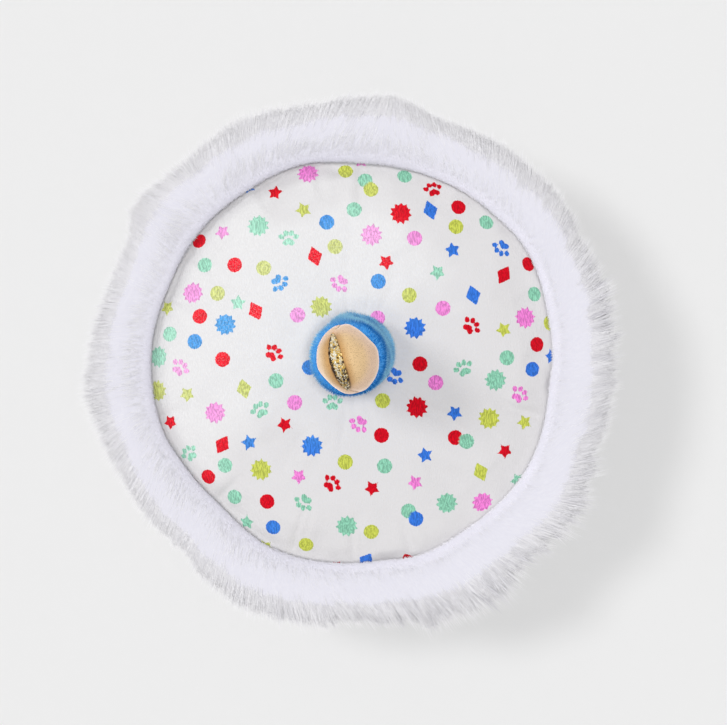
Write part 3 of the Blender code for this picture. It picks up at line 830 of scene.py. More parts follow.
# Where the photograph shows each shape of the top's print, in pixels from its upper left corner. A third
# number is the heading in degrees. Later dyes lie over earlier ones.
TOP_PRINT_PIXELS = {
    Dye.RED: {
        Shape.DOT: (
            (198.6, 240.7), (234.6, 264.8), (199.8, 316.3), (222.6, 359.4), (208, 477), (267, 501.7),
            (458.6, 207), (528.5, 264), (537, 344.5), (420, 364), (381.5, 435.3), (455.4, 437.6),
        ),
        Shape.STAR: (
            (275, 192.5, 10), (170, 422.3, 53), (284.7, 424.6, 45), (386.3, 262, 60), (372, 488.3, 47),
            (505, 451, 53),
        ),
        Shape.DIAMOND: (
            (314.8, 256.4, 108), (255.6, 311, 118), (222.2, 444.8, 60), (503.8, 275, 60), (408, 559, 118),
        ),
        Shape.BURST: ((400.8, 213.4, 88), (417, 407.3, 70), (338, 566, 80)),
        Shape.PAW: ((274.2, 352.5, 51), (332.2, 483, 47), (433, 188.3, 106), (471.6, 325.5, 44)),
    },
    Dye.PINK: {
        Shape.DOT: (
            (297.7, 315), (377.5, 318), (414.6, 238.2), (443, 308.3), (294.7, 402.6), (435.7, 382.7),
        ),
        Shape.STAR: (
            (222.3, 232, 49), (298.7, 476.4, 54), (415, 482.5, 45), (361, 162, 20), (543, 438, 40),
            (459, 538, 40),
        ),
        Shape.BURST: (
            (308, 173.2, 85), (371.5, 235, 80), (192.5, 292.8, 88), (525.2, 317.8, 75), (215, 412.7, 82),
            (482.5, 502.6, 80),
        ),
        Shape.PAW: ((339.2, 283.8, -129), (180.4, 367, 52), (519.8, 394, 50), (358.5, 424.6, -126)),
    },
    Dye.MINT: {
        Shape.DOT: (
            (354.2, 209.4), (365.2, 180), (204.4, 264.8), (169.5, 334), (276, 380.8), (404.7, 176),
            (486.4, 222.2), (534.8, 294), (506.8, 357.8), (224.8, 465.5), (234.2, 497.3), (384.6, 466),
            (466.7, 441.4), (408.5, 511),
        ),
        Shape.STAR: ((238, 303, 15), (437.6, 272.3, 49), (246.5, 522.7, 12), (517, 480, 45)),
        Shape.BURST: (
            (258.3, 226, 84), (158, 356.8, 80), (495.4, 380, 78), (346.8, 526.2, 86), (446.8, 503.2, 90),
        ),
        Shape.PAW: (
            (288.7, 237.5, 90), (260, 409, 117), (332.5, 401.6, 90), (188.5, 453, 128), (303.3, 503, -125),
            (463, 367.5, 115),
        ),
    },
    Dye.BLUE: {
        Shape.DOT: (
            (326.8, 222.2), (194.8, 341.5), (309.6, 367.4), (378.3, 281.3), (532.3, 369.3), (273, 527.5),
            (416, 519),
        ),
        Shape.STAR: (
            (249, 442.6, 33), (452.5, 250, 29), (454.8, 413, 48), (425, 455.2, 32), (551, 356.4, 30),
            (249, 188, 40),
        ),
        Shape.DIAMOND: ((430.5, 210, 107), (473.2, 295.2, 106), (366, 560, 60)),
        Shape.BURST: ((225.4, 324.5, 86), (415, 327.8, 84), (312, 445.8, 85)),
        Shape.PAW: ((280, 283.2, -45), (501.3, 248.7, -125), (394, 376.5, -115)),
    },
    Dye.LIME: {
        Shape.DOT: (
            (345.5, 171), (370.9, 189.4), (335, 246.5), (263.7, 268), (217.4, 293.3), (456, 226.6),
            (409.3, 295.2), (549, 323.4), (382.5, 400.7), (345.3, 462), (371.2, 531.7), (306, 544.7),
        ),
        Shape.STAR: (
            (303.5, 210, 44), (167, 307.7, 53), (187, 394.5, 52), (503.6, 329.7, 45), (524.6, 422.3, 41),
            (266, 546, 50),
        ),
        Shape.DIAMOND: ((244, 388.8, 104), (480.6, 472, 113)),
        Shape.BURST: ((321, 306.7, 82), (260.8, 470, 86), (489, 418.4, 84), (157, 390.7, 80)),
    },
}


@dataclass(frozen=True)
class Photograph:
    """The photograph's frame, and how its camera stood: straight above, a little to the right of the cake."""

    width_px: float = 727.0
    height_px: float = 725.0
    distance: float = 1200 * MM
    pixels_per_mm: float = 1.99
    camera_x: float = 6.03 * MM
    sensor: float = 36.0
    farthest: float = 50.0

    def places(self, x_px: Array, y_px: Array, height: Array, seam_height: float) -> tuple[Array, Array]:
        """Carries pixels to places on the cake.

        Args:
            x_px, y_px: Pixels from the left and from the top.
            height: Height of the thing seen.
            seam_height: Height at which pixels_per_mm holds.

        Returns:
            X and Y in metres.
        """
        scale = self.pixels_per_mm / MM * self.distance / (self.distance - (height - seam_height))
        x = (x_px - self.width_px / 2) / scale + self.camera_x
        y = (self.height_px / 2 - y_px) / scale
        return x, y

    def add_camera(self, seam_height: float) -> None:
        """Adds the camera that takes the photograph's view.

        Args:
            seam_height: Height at which pixels_per_mm holds.
        """
        data = bpy.data.cameras.new("camera")
        data.sensor_width = self.sensor
        data.lens = self.sensor * self.distance / (self.width_px / self.pixels_per_mm * MM)
        data.clip_end = self.farthest
        camera = bpy.data.objects.new("camera", data)
        camera.location = (self.camera_x, 0.0, seam_height + self.distance)
        bpy.context.scene.collection.objects.link(camera)
        bpy.context.scene.camera = camera


# The cake's form

# What the photograph shows round the cake's middle: angle in degrees, and radius in pixels, of the top seam
# and of the fur's tips. Folds in the top's edge: angle in degrees, depth and reach inwards in millimetres.
SEAM_PIXELS_PER_MM = 1.99
SEAM_PIXELS = (
    (0, 201), (15, 202), (29, 207), (36, 208), (45, 205), (55, 204), (65, 202), (75, 200.5), (87, 199.5),
    (95, 201), (102, 204), (113, 203), (121, 200.5), (135, 201), (145, 200), (156, 197.5), (165, 199),
    (175, 200.5), (190, 201), (202, 200.5), (210, 196.5), (220, 194.5), (228, 193.5), (236, 197),
    (245, 202), (255, 202), (268, 200.5), (280, 200), (288, 204.5), (296, 204), (303, 202), (313, 203),
    (324, 205), (334, 204), (345, 200.5), (354, 198.5),
)
FUR_PIXELS_PER_MM = 1.975
FUR_TIP_PIXELS = (
    (0, 259), (10, 261), (15, 265), (20, 262), (25, 259), (32, 264), (45, 265), (55, 263), (65, 258),
    (75, 262), (82, 264), (92, 263), (100, 258), (108, 262), (120, 263), (130, 258), (140, 265), (147, 261),
    (151, 252), (160, 250), (168, 254), (180, 260), (187, 265), (193, 259), (205, 255), (215, 255),
    (224, 250), (228, 248), (232, 257), (240, 261), (246, 265), (260, 262), (270, 258), (280, 263),
    (288, 271), (297, 273), (305, 267), (312, 264), (320, 268), (325, 273), (331, 266), (338, 259),
    (345, 262), (352, 259),
)
EDGE_FOLDS = (
    (20, 0.8, 18), (62, 1.0, 24), (87, 1.1, 26), (100, 1.5, 22), (118, 1.3, 20), (146, 1.5, 24),
    (160, 1.1, 18), (196, 1.3, 22), (226, 1.7, 22), (253, 2.0, 32), (271, 1.3, 26), (288, 1.6, 22),
    (312, 0.9, 16), (344, 1.5, 28),
)


def smooth_round(angle: Array, table: tuple, spread: float) -> Array:
    """Reads a table of angles and values round the cake, smoothed over a few degrees.

    Args:
        angle: Angles at which to read.
        table: Pairs of an angle in degrees and a value.
        spread: How far the values are averaged to either side, in degrees: weights fall off as a bell.

    Returns:
        The values.
    """
    angles, values = np.array(table, float).T
    offsets = np.linspace(-1.6, 1.6, 9)
    weights = np.exp(-(offsets**2))
    total = 0.0
    for offset, weight in zip(offsets, weights):
        total = total + weight * np.interp(np.degrees(angle) + offset * spread, angles, values, period=360.0)
    return total / weights.sum()


@dataclass(frozen=True)
class CakeForm:
    """The outer faces of the cake's cover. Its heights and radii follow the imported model."""

    seam_radius: float = 100 * MM
    seam_height: float = 79 * MM
    crown_rise: float = 16 * MM
    flatness: float = 3.4
    base_radius: float = 94 * MM
    cloth: float = 2.2 * MM
    swell: float = 9 * MM
    swell_sharpness: float = 0.7
    band_height: float = 38 * MM
    root_x: float = 4.2 * MM
    root_y: float = 5.9 * MM
    dimple_depth: float = 3 * MM
    dimple_floor: float = 15 * MM
    dimple_radius: float = 28 * MM
    settled_share: float = 0.85
    lip_bulge: float = 1.5 * MM
    lip_cover: float = 0.7 * MM

    def rim(self, angle: Array) -> Array:
        """Radius of the top seam. What is seen round the photograph's cake is the fur's lip, which hides it."""
        seen = smooth_round(angle, SEAM_PIXELS, 2.5) / SEAM_PIXELS_PER_MM * MM
        return seen + self.lip_cover + 0.35 * self.overhang(angle)

    def overhang(self, angle: Array) -> Array:
        """How far the fur's lip bulges in over the cloth: most at the left."""
        return self.lip_bulge * (0.35 + 0.65 * towards(angle, 160) ** 1.5)

    def crown(self, share: Array) -> Array:
        """Height of the top at a share of the seam's radius: a flattened dome that drops to the seam."""
        held = np.clip(share, 0.0, 1.0)
        return self.seam_height + self.crown_rise * np.sqrt(1.0 - held**self.flatness)

    def unrolled(self) -> tuple[Array, Array]:
        """Shares of the radius, and the length along the cloth from the middle to each of them."""
        share = 1.0 - np.linspace(1.0, 0.0, 4001) ** 2
        run = np.hypot(np.diff(share) * self.seam_radius, np.diff(self.crown(share)))
        return share, np.concatenate(([0.0], np.cumsum(run)))

    def wall(self, height: Array) -> Array:
        """Radius of the wall: straight between its seams, with a swell that follows a sine to a power.

        Args:
            height: Heights.

        Returns:
            The radii.
        """
        share = np.clip((height - self.cloth) / (self.seam_height - self.cloth), 0.0, 1.0)
        swell = self.swell * np.clip(np.sin(math.pi * share), 0.0, 1.0) ** self.swell_sharpness
        return self.base_radius + (self.seam_radius - self.base_radius) * share + swell

    def band_foot(self) -> float:
        """Height of the seam between the fur and the wall."""
        return self.seam_height - self.band_height

    def flat_place(self, x: Array, y: Array) -> tuple[Array, Array]:
        """Carries a place seen from above to its place on the flat cut cloth, measured along the cloth.

        Args:
            x, y: Places across and along.

        Returns:
            Places across and along the flat cloth.
        """
        angle = np.arctan2(y, x)
        rim = self.rim(angle)
        share = np.hypot(x, y) / rim
        flat = np.interp(share, *self.unrolled()) + np.maximum(share - 1.0, 0.0) * rim
        flat = flat * rim / self.seam_radius
        return flat * np.cos(angle), flat * np.sin(angle)


@dataclass
class PrintRun:
    """A stretch of printed cloth: the shapes on it, with their places on the flat cloth in millimetres."""

    marks: list[tuple[Shape, Dye, float, float, float]]
    confetti: Confetti = Confetti()
    widest: float = 9.0
    overlap: float = 0.15

    def lay(self, piece: Piece, x: Array, y: Array, brushed: Array) -> None:
        """Marks each point with its place, its distance to the nearest shape and that shape's dye.

        Args:
            piece: The printed piece.
            x, y: Place of each of its points across and along the flat cloth, in metres.
            brushed: How far the pile is open at each and lit by painted light, from 0 to 1.
        """
        nearest = np.full(x.shape, self.widest)
        inks = np.tile(np.ravel(Dye.RED.value), (len(x), 1))
        for shape, dye, place_x, place_y, heading in self.marks:
            u, v = x / MM - place_x, y / MM - place_y
            close = np.flatnonzero(np.hypot(u, v) < self.widest)
            cosine, sine = math.cos(heading), math.sin(heading)
            along, aside = u[close] * cosine + v[close] * sine, v[close] * cosine - u[close] * sine
            reach = self.confetti.distance(shape, along, aside)
            takes = (reach < nearest[close]) | (reach < self.overlap)
            inks[close[takes]] = np.ravel(dye.value)
            nearest[close] = np.minimum(nearest[close], reach)
        # Deep inks where brushed is low, for flat pile and painted shade; pale ones where it is high, for open
        # pile and painted light.
        colour = inks[:, :3] * (1.0 - brushed[:, None]) + inks[:, 3:] * brushed[:, None]
        colour = np.column_stack((colour, np.ones(len(x))))
        mark_points(piece, print_distance=nearest, print_colour=colour, brushed=brushed)
        mark_points(piece, cloth_place=np.column_stack((x, y, np.zeros(len(x)))))


def photographed_print(form: CakeForm, photo: Photograph) -> PrintRun:
    """The top's print, each shape carried from the photograph to the flat cloth.

    Args:
        form: The cake's form.
        photo: How the photograph was taken.

    Returns:
        The print.
    """
    marks = []
    for dye, shapes in TOP_PRINT_PIXELS.items():
        for shape, places in shapes.items():
            for x_px, y_px, *heading in places:
                height = form.crown(0.5)
                for _ in range(3):
                    x, y = photo.places(x_px, y_px, height, form.seam_height)
                    height = form.crown(np.hypot(x, y) / form.rim(np.arctan2(y, x)))
                flat_x, flat_y = form.flat_place(x, y)
                turn = math.radians(heading[0]) if heading else 0.0
                marks.append((shape, dye, float(flat_x) / MM, float(flat_y) / MM, turn))
    return PrintRun(marks)


def scattered_print(width: float, height: float, seed: int) -> PrintRun:
    """The same confetti scattered over a plain stretch of cloth, from one corner.

    Args:
        width, height: Size of the stretch.
        seed: Seed of the scatter.

    Returns:
        The print.
    """
    draw = np.random.default_rng(seed)
    spacing, slip = 16.5, 0.2
    columns, rows = int(width / MM / spacing), max(1, int(height / MM / spacing))
    shapes, dyes = list(Shape), list(Dye)
    chances = (0.4, 0.2, 0.17, 0.09, 0.14)
    marks = []
    for row in range(rows):
        for column in range(columns):
            x = (column + 0.5 * (row % 2) + 0.5 + draw.uniform(-slip, slip)) * spacing
            y = (row + 0.5 + draw.uniform(-slip, slip)) * spacing
            shape = shapes[int(draw.choice(len(shapes), p=chances))]
            dye = dyes[int(draw.integers(len(dyes)))]
            marks.append((shape, dye, x, y, float(draw.uniform(0, TURN))))
    return PrintRun(marks)


@dataclass(frozen=True)
class ClothRun:
    """Blender's cloth simulation of a stuffed cover, run on a coarse closed copy that is then removed."""

    frames: int = 20
    pressure: float = 4.0
    slack: float = 0.03
    farthest: float = 2.2 * MM
    quality: int = 6
    mass: float = 0.3
    stiffness: float = 0.3

    def moved(self, points: Array, faces: list[Array], held: Array) -> Array:
        """Lets slack cloth settle under the filling's pressure.

        Args:
            points: Places of the copy's points.
            faces: Its faces.
            held: Whether each point is sewn down.

        Returns:
            How far each point moved.
        """
        trial = make_piece("cover_trial", points, faces)
        trial.vertex_groups.new(name="held").add(np.flatnonzero(held).tolist(), 1.0, "REPLACE")
        settings = trial.modifiers.new("cloth", "CLOTH").settings
        settings.quality = self.quality
        settings.mass = self.mass
        settings.bending_stiffness = self.stiffness
        settings.vertex_group_mass = "held"
        settings.use_pressure = True
        settings.uniform_pressure_force = self.pressure
        settings.shrink_min = -self.slack
        settings.effector_weights.gravity = 0.0
        scene = bpy.context.scene
        for frame_number in range(1, self.frames + 1):
            scene.frame_set(frame_number)
        shaped = trial.evaluated_get(bpy.context.evaluated_depsgraph_get())
        places = np.empty(len(points) * 3, np.float32)
        shaped.data.vertices.foreach_get("co", places)
        bpy.data.objects.remove(trial)
        scene.frame_set(1)
        return places.reshape(-1, 3) - points

    def capped(self, move: Array) -> Array:
        """Holds a move to the farthest that is allowed, softly."""
        far = np.linalg.norm(move, axis=-1, keepdims=True)
        return move * self.farthest * np.tanh(far / self.farthest) / np.maximum(far, 1e-9)


@dataclass
class PrintedCover:
    """The printed pile cover: top, wall and base."""

    form: CakeForm
    photo: Photograph
    material: Material
    top_rings: int = 132
    top_columns: int = 640
    wall_rings: int = 60
    wall_columns: int = 560
    base_rings: int = 70
    base_columns: int = 240
    innermost: float = 0.002
    turned_in: float = 3 * MM
    pucker_depth: float = 1.1 * MM
    pucker_reach: float = 17 * MM
    fold_depth: float = 0.7 * MM
    lee_drop: float = 2.8 * MM
    lee_width: float = 4 * MM
    wall_start: float = 6 * MM
    wall_waves: int = 24
    wall_wave_depth: float = 0.9 * MM
    hem_pucker: float = 0.8 * MM
    hem_height: float = 12 * MM
    coarse_rings: int = 34
    coarse_rows: int = 13
    coarse_columns: int = 150
    root_rings: int = 5
    closing_place: float = -38 * MM
    closing_reach: float = 30 * MM

    def __post_init__(self) -> None:
        self.top_moves = np.zeros((self.coarse_rings, self.coarse_columns, 3))
        self.wall_moves = np.zeros((self.coarse_rows, self.coarse_columns, 3))
        self.run_cloth(ClothRun())

    def run_cloth(self, cloth: ClothRun) -> None:
        """Settles a coarse copy of the whole cover, held at its seams and at the candle's root.

        The filling's swell, the same all round a ring, is in the cover's form already, so only what differs
        from it is kept: the cloth's folds.

        Args:
            cloth: The simulation.
        """
        angle = ring_angles(self.coarse_columns)
        top = self.crowned(np.linspace(self.innermost, 1.0, self.coarse_rings), angle)
        wall = self.walled(np.linspace(0.0, 1.0, self.coarse_rows)[:, None], angle)
        grid = np.concatenate((top, wall))
        held = np.zeros(grid.shape[:2], bool)
        held[: self.root_rings] = True
        held[self.coarse_rings - 1 : self.coarse_rings + 3] = True
        held[-1] = True
        points, faces = closed_form(grid, grid[0].mean(0), grid[-1].mean(0))
        move = cloth.moved(points, faces, np.append(held.ravel(), (True, True)))[:-2].reshape(grid.shape)
        outwards = np.stack((np.cos(angle), np.sin(angle)), axis=-1)
        swell = (move[..., :2] * outwards).sum(-1).mean(1)[:, None, None] * outwards
        rise = move[..., 2:].mean(1, keepdims=True)
        folds = np.concatenate((move[..., :2] - swell, move[..., 2:] - rise), axis=-1)
        log.info("cloth: most %.1f mm, folds %.1f mm", np.abs(move).max() / MM, np.abs(folds).max() / MM)
        folds = cloth.capped(folds)
        self.top_moves, self.wall_moves = folds[: self.coarse_rings], folds[self.coarse_rings :]

    def carried(self, moves: Array, share: Array, angle: Array) -> Array:
        """Carries coarse moves to the fine grid.

        Args:
            moves: Moves of the coarse rows.
            share: Share of the way along the coarse rows of each fine row.
            angle: Angle of each fine column.

        Returns:
            A move for each point of the fine grid.
        """
        rows = spline_weights(share * (len(moves) - 1), len(moves), False)
        columns = spline_weights(angle / TURN * self.coarse_columns, self.coarse_columns, True)
        return np.einsum("ri,ijk,cj->rck", rows, moves, columns)

    def crowned(self, even: Array, angle: Array) -> Array:
        """Points of the crowned top before its cloth settles.

        Rings are even along the cloth. Each is a circle as wide as its share of the seam, and the inner ones
        are moved over the candle's root, where the cloth dips.

        Args:
            even: Share of the way along the cloth of each ring.
            angle: Angles of the columns, as one row.

        Returns:
            A grid of points, a row for each ring.
        """
        form = self.form
        shares, lengths = form.unrolled()
        share = np.interp(even, lengths / lengths[-1], shares)[:, None]
        rim = form.rim(angle)
        ring = share * form.seam_radius
        settled = form.settled_share * form.seam_radius
        shift = 1.0 - eased((ring - form.dimple_radius) / (settled - form.dimple_radius))
        x = share * rim * np.cos(angle) + form.root_x * shift
        y = share * rim * np.sin(angle) + form.root_y * shift
        dip = 1.0 - eased((ring - form.dimple_floor) / (form.dimple_radius - form.dimple_floor))
        z = form.crown(share) - form.dimple_depth * dip + self.folds(x, y, angle, share)
        return np.stack((x, y, z), axis=-1)

    def walled(self, share: Array, angle: Array) -> Array:
        """Points of the side wall before its cloth settles, from under the fur down to the base seam.

        Args:
            share: Share of the way down of each row, as a column.
            angle: Angles of the columns, as one row.

        Returns:
            A grid of points.
        """
        form = self.form
        high = form.band_foot() + self.wall_start
        height = high + (form.cloth * 0.4 - high) * share
        waves = round_noise(angle, self.wall_waves, 45, height / (22 * MM))
        near_base = np.sin(math.pi * np.clip((height - form.cloth) / self.hem_height, 0.0, 1.0))
        puckers = 0.5 + 0.5 * round_noise(angle, 48, 46)
        radius = form.wall(height) + self.wall_wave_depth * waves - self.hem_pucker * near_base * puckers
        return round_places(radius, angle, height)

    def folds(self, x: Array, y: Array, angle: Array, share: Array) -> Array:
        """Height that soft folds and puckers add: slow noise, small tucks at the seam, and the seen folds.

        Args:
            x, y: Places across and along.
            angle: Their angles.
            share: Their shares of the seam's radius.

        Returns:
            Heights to add.
        """
        slow = Lattice(41).layered(x / (26 * MM) + 9.0, y / (26 * MM) + 9.0)
        inland = (1.0 - share) * self.form.seam_radius
        inwards = np.clip(inland / self.pucker_reach, 0.0, 1.0)
        tucks = 0.5 + 0.5 * round_noise(angle, 34, 42) + 0.25 * round_noise(angle, 61, 43)
        hold = eased((1.0 - share) * 12.0) * eased((share - 0.2) * 5.0)
        total = self.fold_depth * slow * hold - self.pucker_depth * np.sin(math.pi * inwards) * tucks
        for degrees, depth, reach in EDGE_FOLDS:
            aside = shorter_way(angle, math.radians(degrees)) * self.form.seam_radius
            along = np.clip(inland / (reach * MM), 0.0, 1.0)
            groove = hump(aside, 3.2 * MM) - 0.45 * hump(aside - 6 * MM, 4 * MM)
            total = total - depth * MM * groove * np.sin(math.pi * along**0.6)
        return total - self.lee_drop * towards(angle, 165) ** 2 * hump(inland - 3.5 * MM, self.lee_width)

    def brushed(self, x: Array, y: Array) -> Array:
        """How far the pile stands open, and how much painted light it gets: most at the upper left, least in
        painted shade by the candle's right.

        Args:
            x, y: Places across and along.

        Returns:
            Shares from 0 to 1.
        """
        share = np.hypot(x, y) / self.form.seam_radius
        # Painted light: lighter towards the upper left, where the side lamp stands.
        side = eased((0.2 - 0.5 * (x * 0.65 - y * 0.75) / self.form.seam_radius) / 0.55)
        # Painted shadow of the candle, on its right.
        beside_candle = hump(x - 38 * MM, 34 * MM) * hump(y + 14 * MM, 26 * MM)
        # Painted shade where the cloth turns down at the seam.
        edge = eased((share - 0.9) * 10.0)
        # Painted shade at the upper right, where the cloth curves away near the edge.
        upper_right = eased((share - 0.6) * 4.0) * towards(np.arctan2(y, x), 60) ** 2
        # Soft random patches of the nap itself.
        patches = Lattice(44).layered(x / (18 * MM) + 5.0, y / (18 * MM) + 5.0)
        painted_shade = 0.6 * beside_candle + 0.5 * edge + 0.8 * upper_right
        return np.clip(side + 0.22 * patches - painted_shade, 0.0, 1.0)

    def top(self) -> None:
        """Makes the crowned top, puckered at its seam and drawn in round the candle's root."""
        form = self.form
        even = np.linspace(self.innermost, 1.0, self.top_rings)
        angle = ring_angles(self.top_columns)
        settled = self.crowned(even, angle) + self.carried(self.top_moves, even, angle[0])
        inside = round_places(0.985 * form.rim(angle), angle, form.seam_height - self.turned_in)
        points, faces = closed_form(np.concatenate((settled, inside)), settled[0].mean(0), None)
        made = make_piece("top_cover", points, faces)
        x, y = points[:, 0], points[:, 1]
        photographed_print(form, self.photo).lay(made, *form.flat_place(x, y), self.brushed(x, y))
        dress(made, self.material)
        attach(made, "cake")
        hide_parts("top_panel")

    def wall(self) -> None:
        """Makes the side wall: a band whose two ends meet in a sewn join at the back."""
        form = self.form
        share = np.linspace(0.0, 1.0, self.wall_rings)
        way_round = np.linspace(0.0, TURN, self.wall_columns)
        angle = (math.pi / 2 + way_round)[None, :]
        grid = self.walled(share[:, None], angle)
        high, flat_y = float(grid[0, 0, 2]), grid[..., 2].ravel()
        grid = grid + self.carried(self.wall_moves, share, angle[0])
        join = np.minimum(angle - math.pi / 2, TURN + math.pi / 2 - angle) * form.seam_radius
        grid[..., :2] *= (1.0 - 1.4 * MM * np.exp(-join / (1.2 * MM)) / form.base_radius)[..., None]
        made = make_piece("side_cover", grid, [grid_faces(*grid.shape[:2], False)])
        width = TURN * form.wall(form.band_foot())
        flat_x = np.broadcast_to((angle - math.pi / 2) / TURN * width, grid.shape[:2]).ravel()
        patches = Lattice(48).layered(flat_x / (30 * MM), flat_y / (18 * MM))
        scattered_print(width, high, 47).lay(made, flat_x, flat_y, np.clip(0.5 + 0.35 * patches, 0.0, 1.0))
        dress(made, self.material)
        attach(made, "cake")
        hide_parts("side_panel")

    def base(self) -> None:
        """Makes the flat base, whose edge turns up to the wall's seam, with a faint dish in its middle."""
        form = self.form
        share = np.linspace(1.0, 0.01, self.base_rings)[:, None]
        angle = ring_angles(self.base_columns)
        radius = share * (form.base_radius - 0.6 * MM)
        height = 1.5 * MM * eased((share - 0.965) / 0.035) + 0.25 * MM * eased((0.8 - share) * 2.0)
        along, aside = radius * np.cos(angle), radius * np.sin(angle) - self.closing_place
        closing = hump(aside, 2.2 * MM) * (1.0 - eased((np.abs(along) - self.closing_reach) / (6 * MM)))
        grid = round_places(radius, angle, height + 1.1 * MM * closing)
        points, faces = closed_form(grid, None, (0.0, 0.0, grid[-1, 0, 2]))
        made = make_piece("base_cover", points, faces)
        flat = points[:, :2] + form.base_radius
        run = scattered_print(2 * form.base_radius, 2 * form.base_radius, 49)
        run.lay(made, flat[:, 0], flat[:, 1], np.full(len(flat), 0.4))
        dress(made, self.material)
        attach(made, "cake")
        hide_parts("base_panel")


@dataclass(frozen=True)
class Stitches:
    """Sewing thread: each stitch is a small arc that dives into the cloth at both ends."""

    thick: float = 0.3 * MM
    rise: float = 0.35 * MM
    sides: int = 6
    steps: int = 7
    spacing: float = 4 * MM
    ladder_side: float = 1.1 * MM
    ladder_slant: float = 0.8 * MM
    root_count: int = 26
    root_slant: float = 0.12
    root_steepness: float = 1.6

    def piece(self, name: str, starts: Array, ends: Array, ups: Array) -> Piece:
        """Makes a row of stitches.

        Args:
            name: Name of the piece.
            starts, ends: Where each stitch comes out of the cloth, and where it goes in again.
            ups: The way out of the cloth at each.

        Returns:
            The piece.
        """
        share = np.linspace(0.0, 1.0, self.steps)[None, :, None]
        paths = starts[:, None] * (1 - share) + ends[:, None] * share
        paths = paths + ups[:, None] * (self.rise * np.sin(math.pi * share) - 0.6 * self.thick)
        along = unit(ends - starts)[:, None, None]
        beside = unit(np.cross(along, ups[:, None, None]))
        turns = (np.arange(self.sides) / self.sides * TURN)[None, None, :, None]
        ring = beside * np.cos(turns) + ups[:, None, None] * np.sin(turns)
        full = np.sqrt(np.sin(math.pi * np.clip(share, 0.01, 0.99)))[..., None]
        grid = paths[:, :, None] + ring * self.thick * full
        first = np.arange(len(starts))[:, None, None] * self.steps * self.sides
        every = first + grid_faces(self.steps, self.sides, True)[None]
        made = make_piece(name, grid, [every.reshape(-1, 4)])
        mark_points(made, rest_place=grid)
        return made

    def closing(self, cover: PrintedCover, material: Material) -> None:
        """Sews the ladder stitch that closes the base after it is filled.

        Args:
            cover: The cover.
            material: The thread.
        """
        places = np.arange(-cover.closing_reach, cover.closing_reach, self.spacing)
        height = np.full(len(places), 1.0 * MM)
        side = np.full(len(places), self.ladder_side)
        starts = np.stack((places, cover.closing_place - side, height), axis=1)
        ends = np.stack((places + self.ladder_slant, cover.closing_place + side, height), axis=1)
        made = self.piece("closing_stitches", starts, ends, np.tile(-UPRIGHT, (len(places), 1)))
        dress(made, material)
        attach(made, "cake")

    def root(self, form: CakeForm, radius: float, material: Material) -> None:
        """Sews the candle's foot to the top with slanting stitches.

        Args:
            form: The cake's form.
            radius: Radius of the foot.
            material: The thread.
        """
        angle = ring_angles(self.root_count)[0]
        middle = np.array((form.root_x, form.root_y, form.seam_height + form.crown_rise - form.dimple_depth))
        starts = round_places(radius + 0.1 * MM, angle, 1.0 * MM) + middle
        ends = round_places(radius + 2.6 * MM, angle + self.root_slant, 0.1 * MM) + middle
        ups = unit(round_places(1.0, angle, self.root_steepness))
        made = self.piece("root_stitches", starts, ends, ups)
        dress(made, material)
        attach(made, "cake")


# The fur


# The pile's outline from the top seam round to the band's foot, in millimetres: how far out of the seam and
# how high above it each corner stands, and how far from the corner its rounding starts.
PILE_CORNERS = ((-0.8, 9.0, 2.5), (28.5, 17.5, 13.3), (28.5, -42.0, 15.0))
PILE_ENDS = ((0.3, 0.0), (6.0, -38.0))
# Along that outline: share of the way, the way the hairs lie above level in degrees, their length in
# millimetres, and how densely they grow as a share of the densest.
HAIR_LIE = (
    (0.0, 140, 2.0, 0.0), (0.045, 150, 1.6, 0.8), (0.075, 142, 1.8, 0.9), (0.09, 100, 3.0, 0.7),
    (0.12, 50, 5.0, 0.5), (0.16, 31, 8.5, 0.45), (0.21, 21, 12.5, 0.7), (0.26, 10, 13.5, 1.2),
    (0.30, -2, 12.0, 1.3), (0.35, -16, 9.5, 1.2), (0.40, -33, 8.5, 1.0), (0.5, -50, 11.0, 0.5),
    (0.7, -60, 12.0, 0.4), (0.85, -70, 9.0, 0.4), (1.0, -80, 6.0, 0.3),
)
# Round the ring: angle, and how far the hairs sweep anticlockwise of straight out, in degrees.
SWEEP_DEGREES = (
    (0, 5), (8, 12), (15, 22), (25, 35), (35, 30), (48, 40), (60, 35), (70, 42), (78, 18), (84, -15),
    (92, -30), (105, -38), (118, -15), (127, -28), (134, 20), (140, 25), (146, -8), (158, -14), (166, 15),
    (175, 15), (190, 5), (203, 35), (215, 35), (226, 20), (236, 20), (250, 18), (262, 30), (266, 38),
    (275, 25), (290, 20), (305, 18), (320, 22), (330, 36), (342, 48), (350, 38), (356, 10),
)


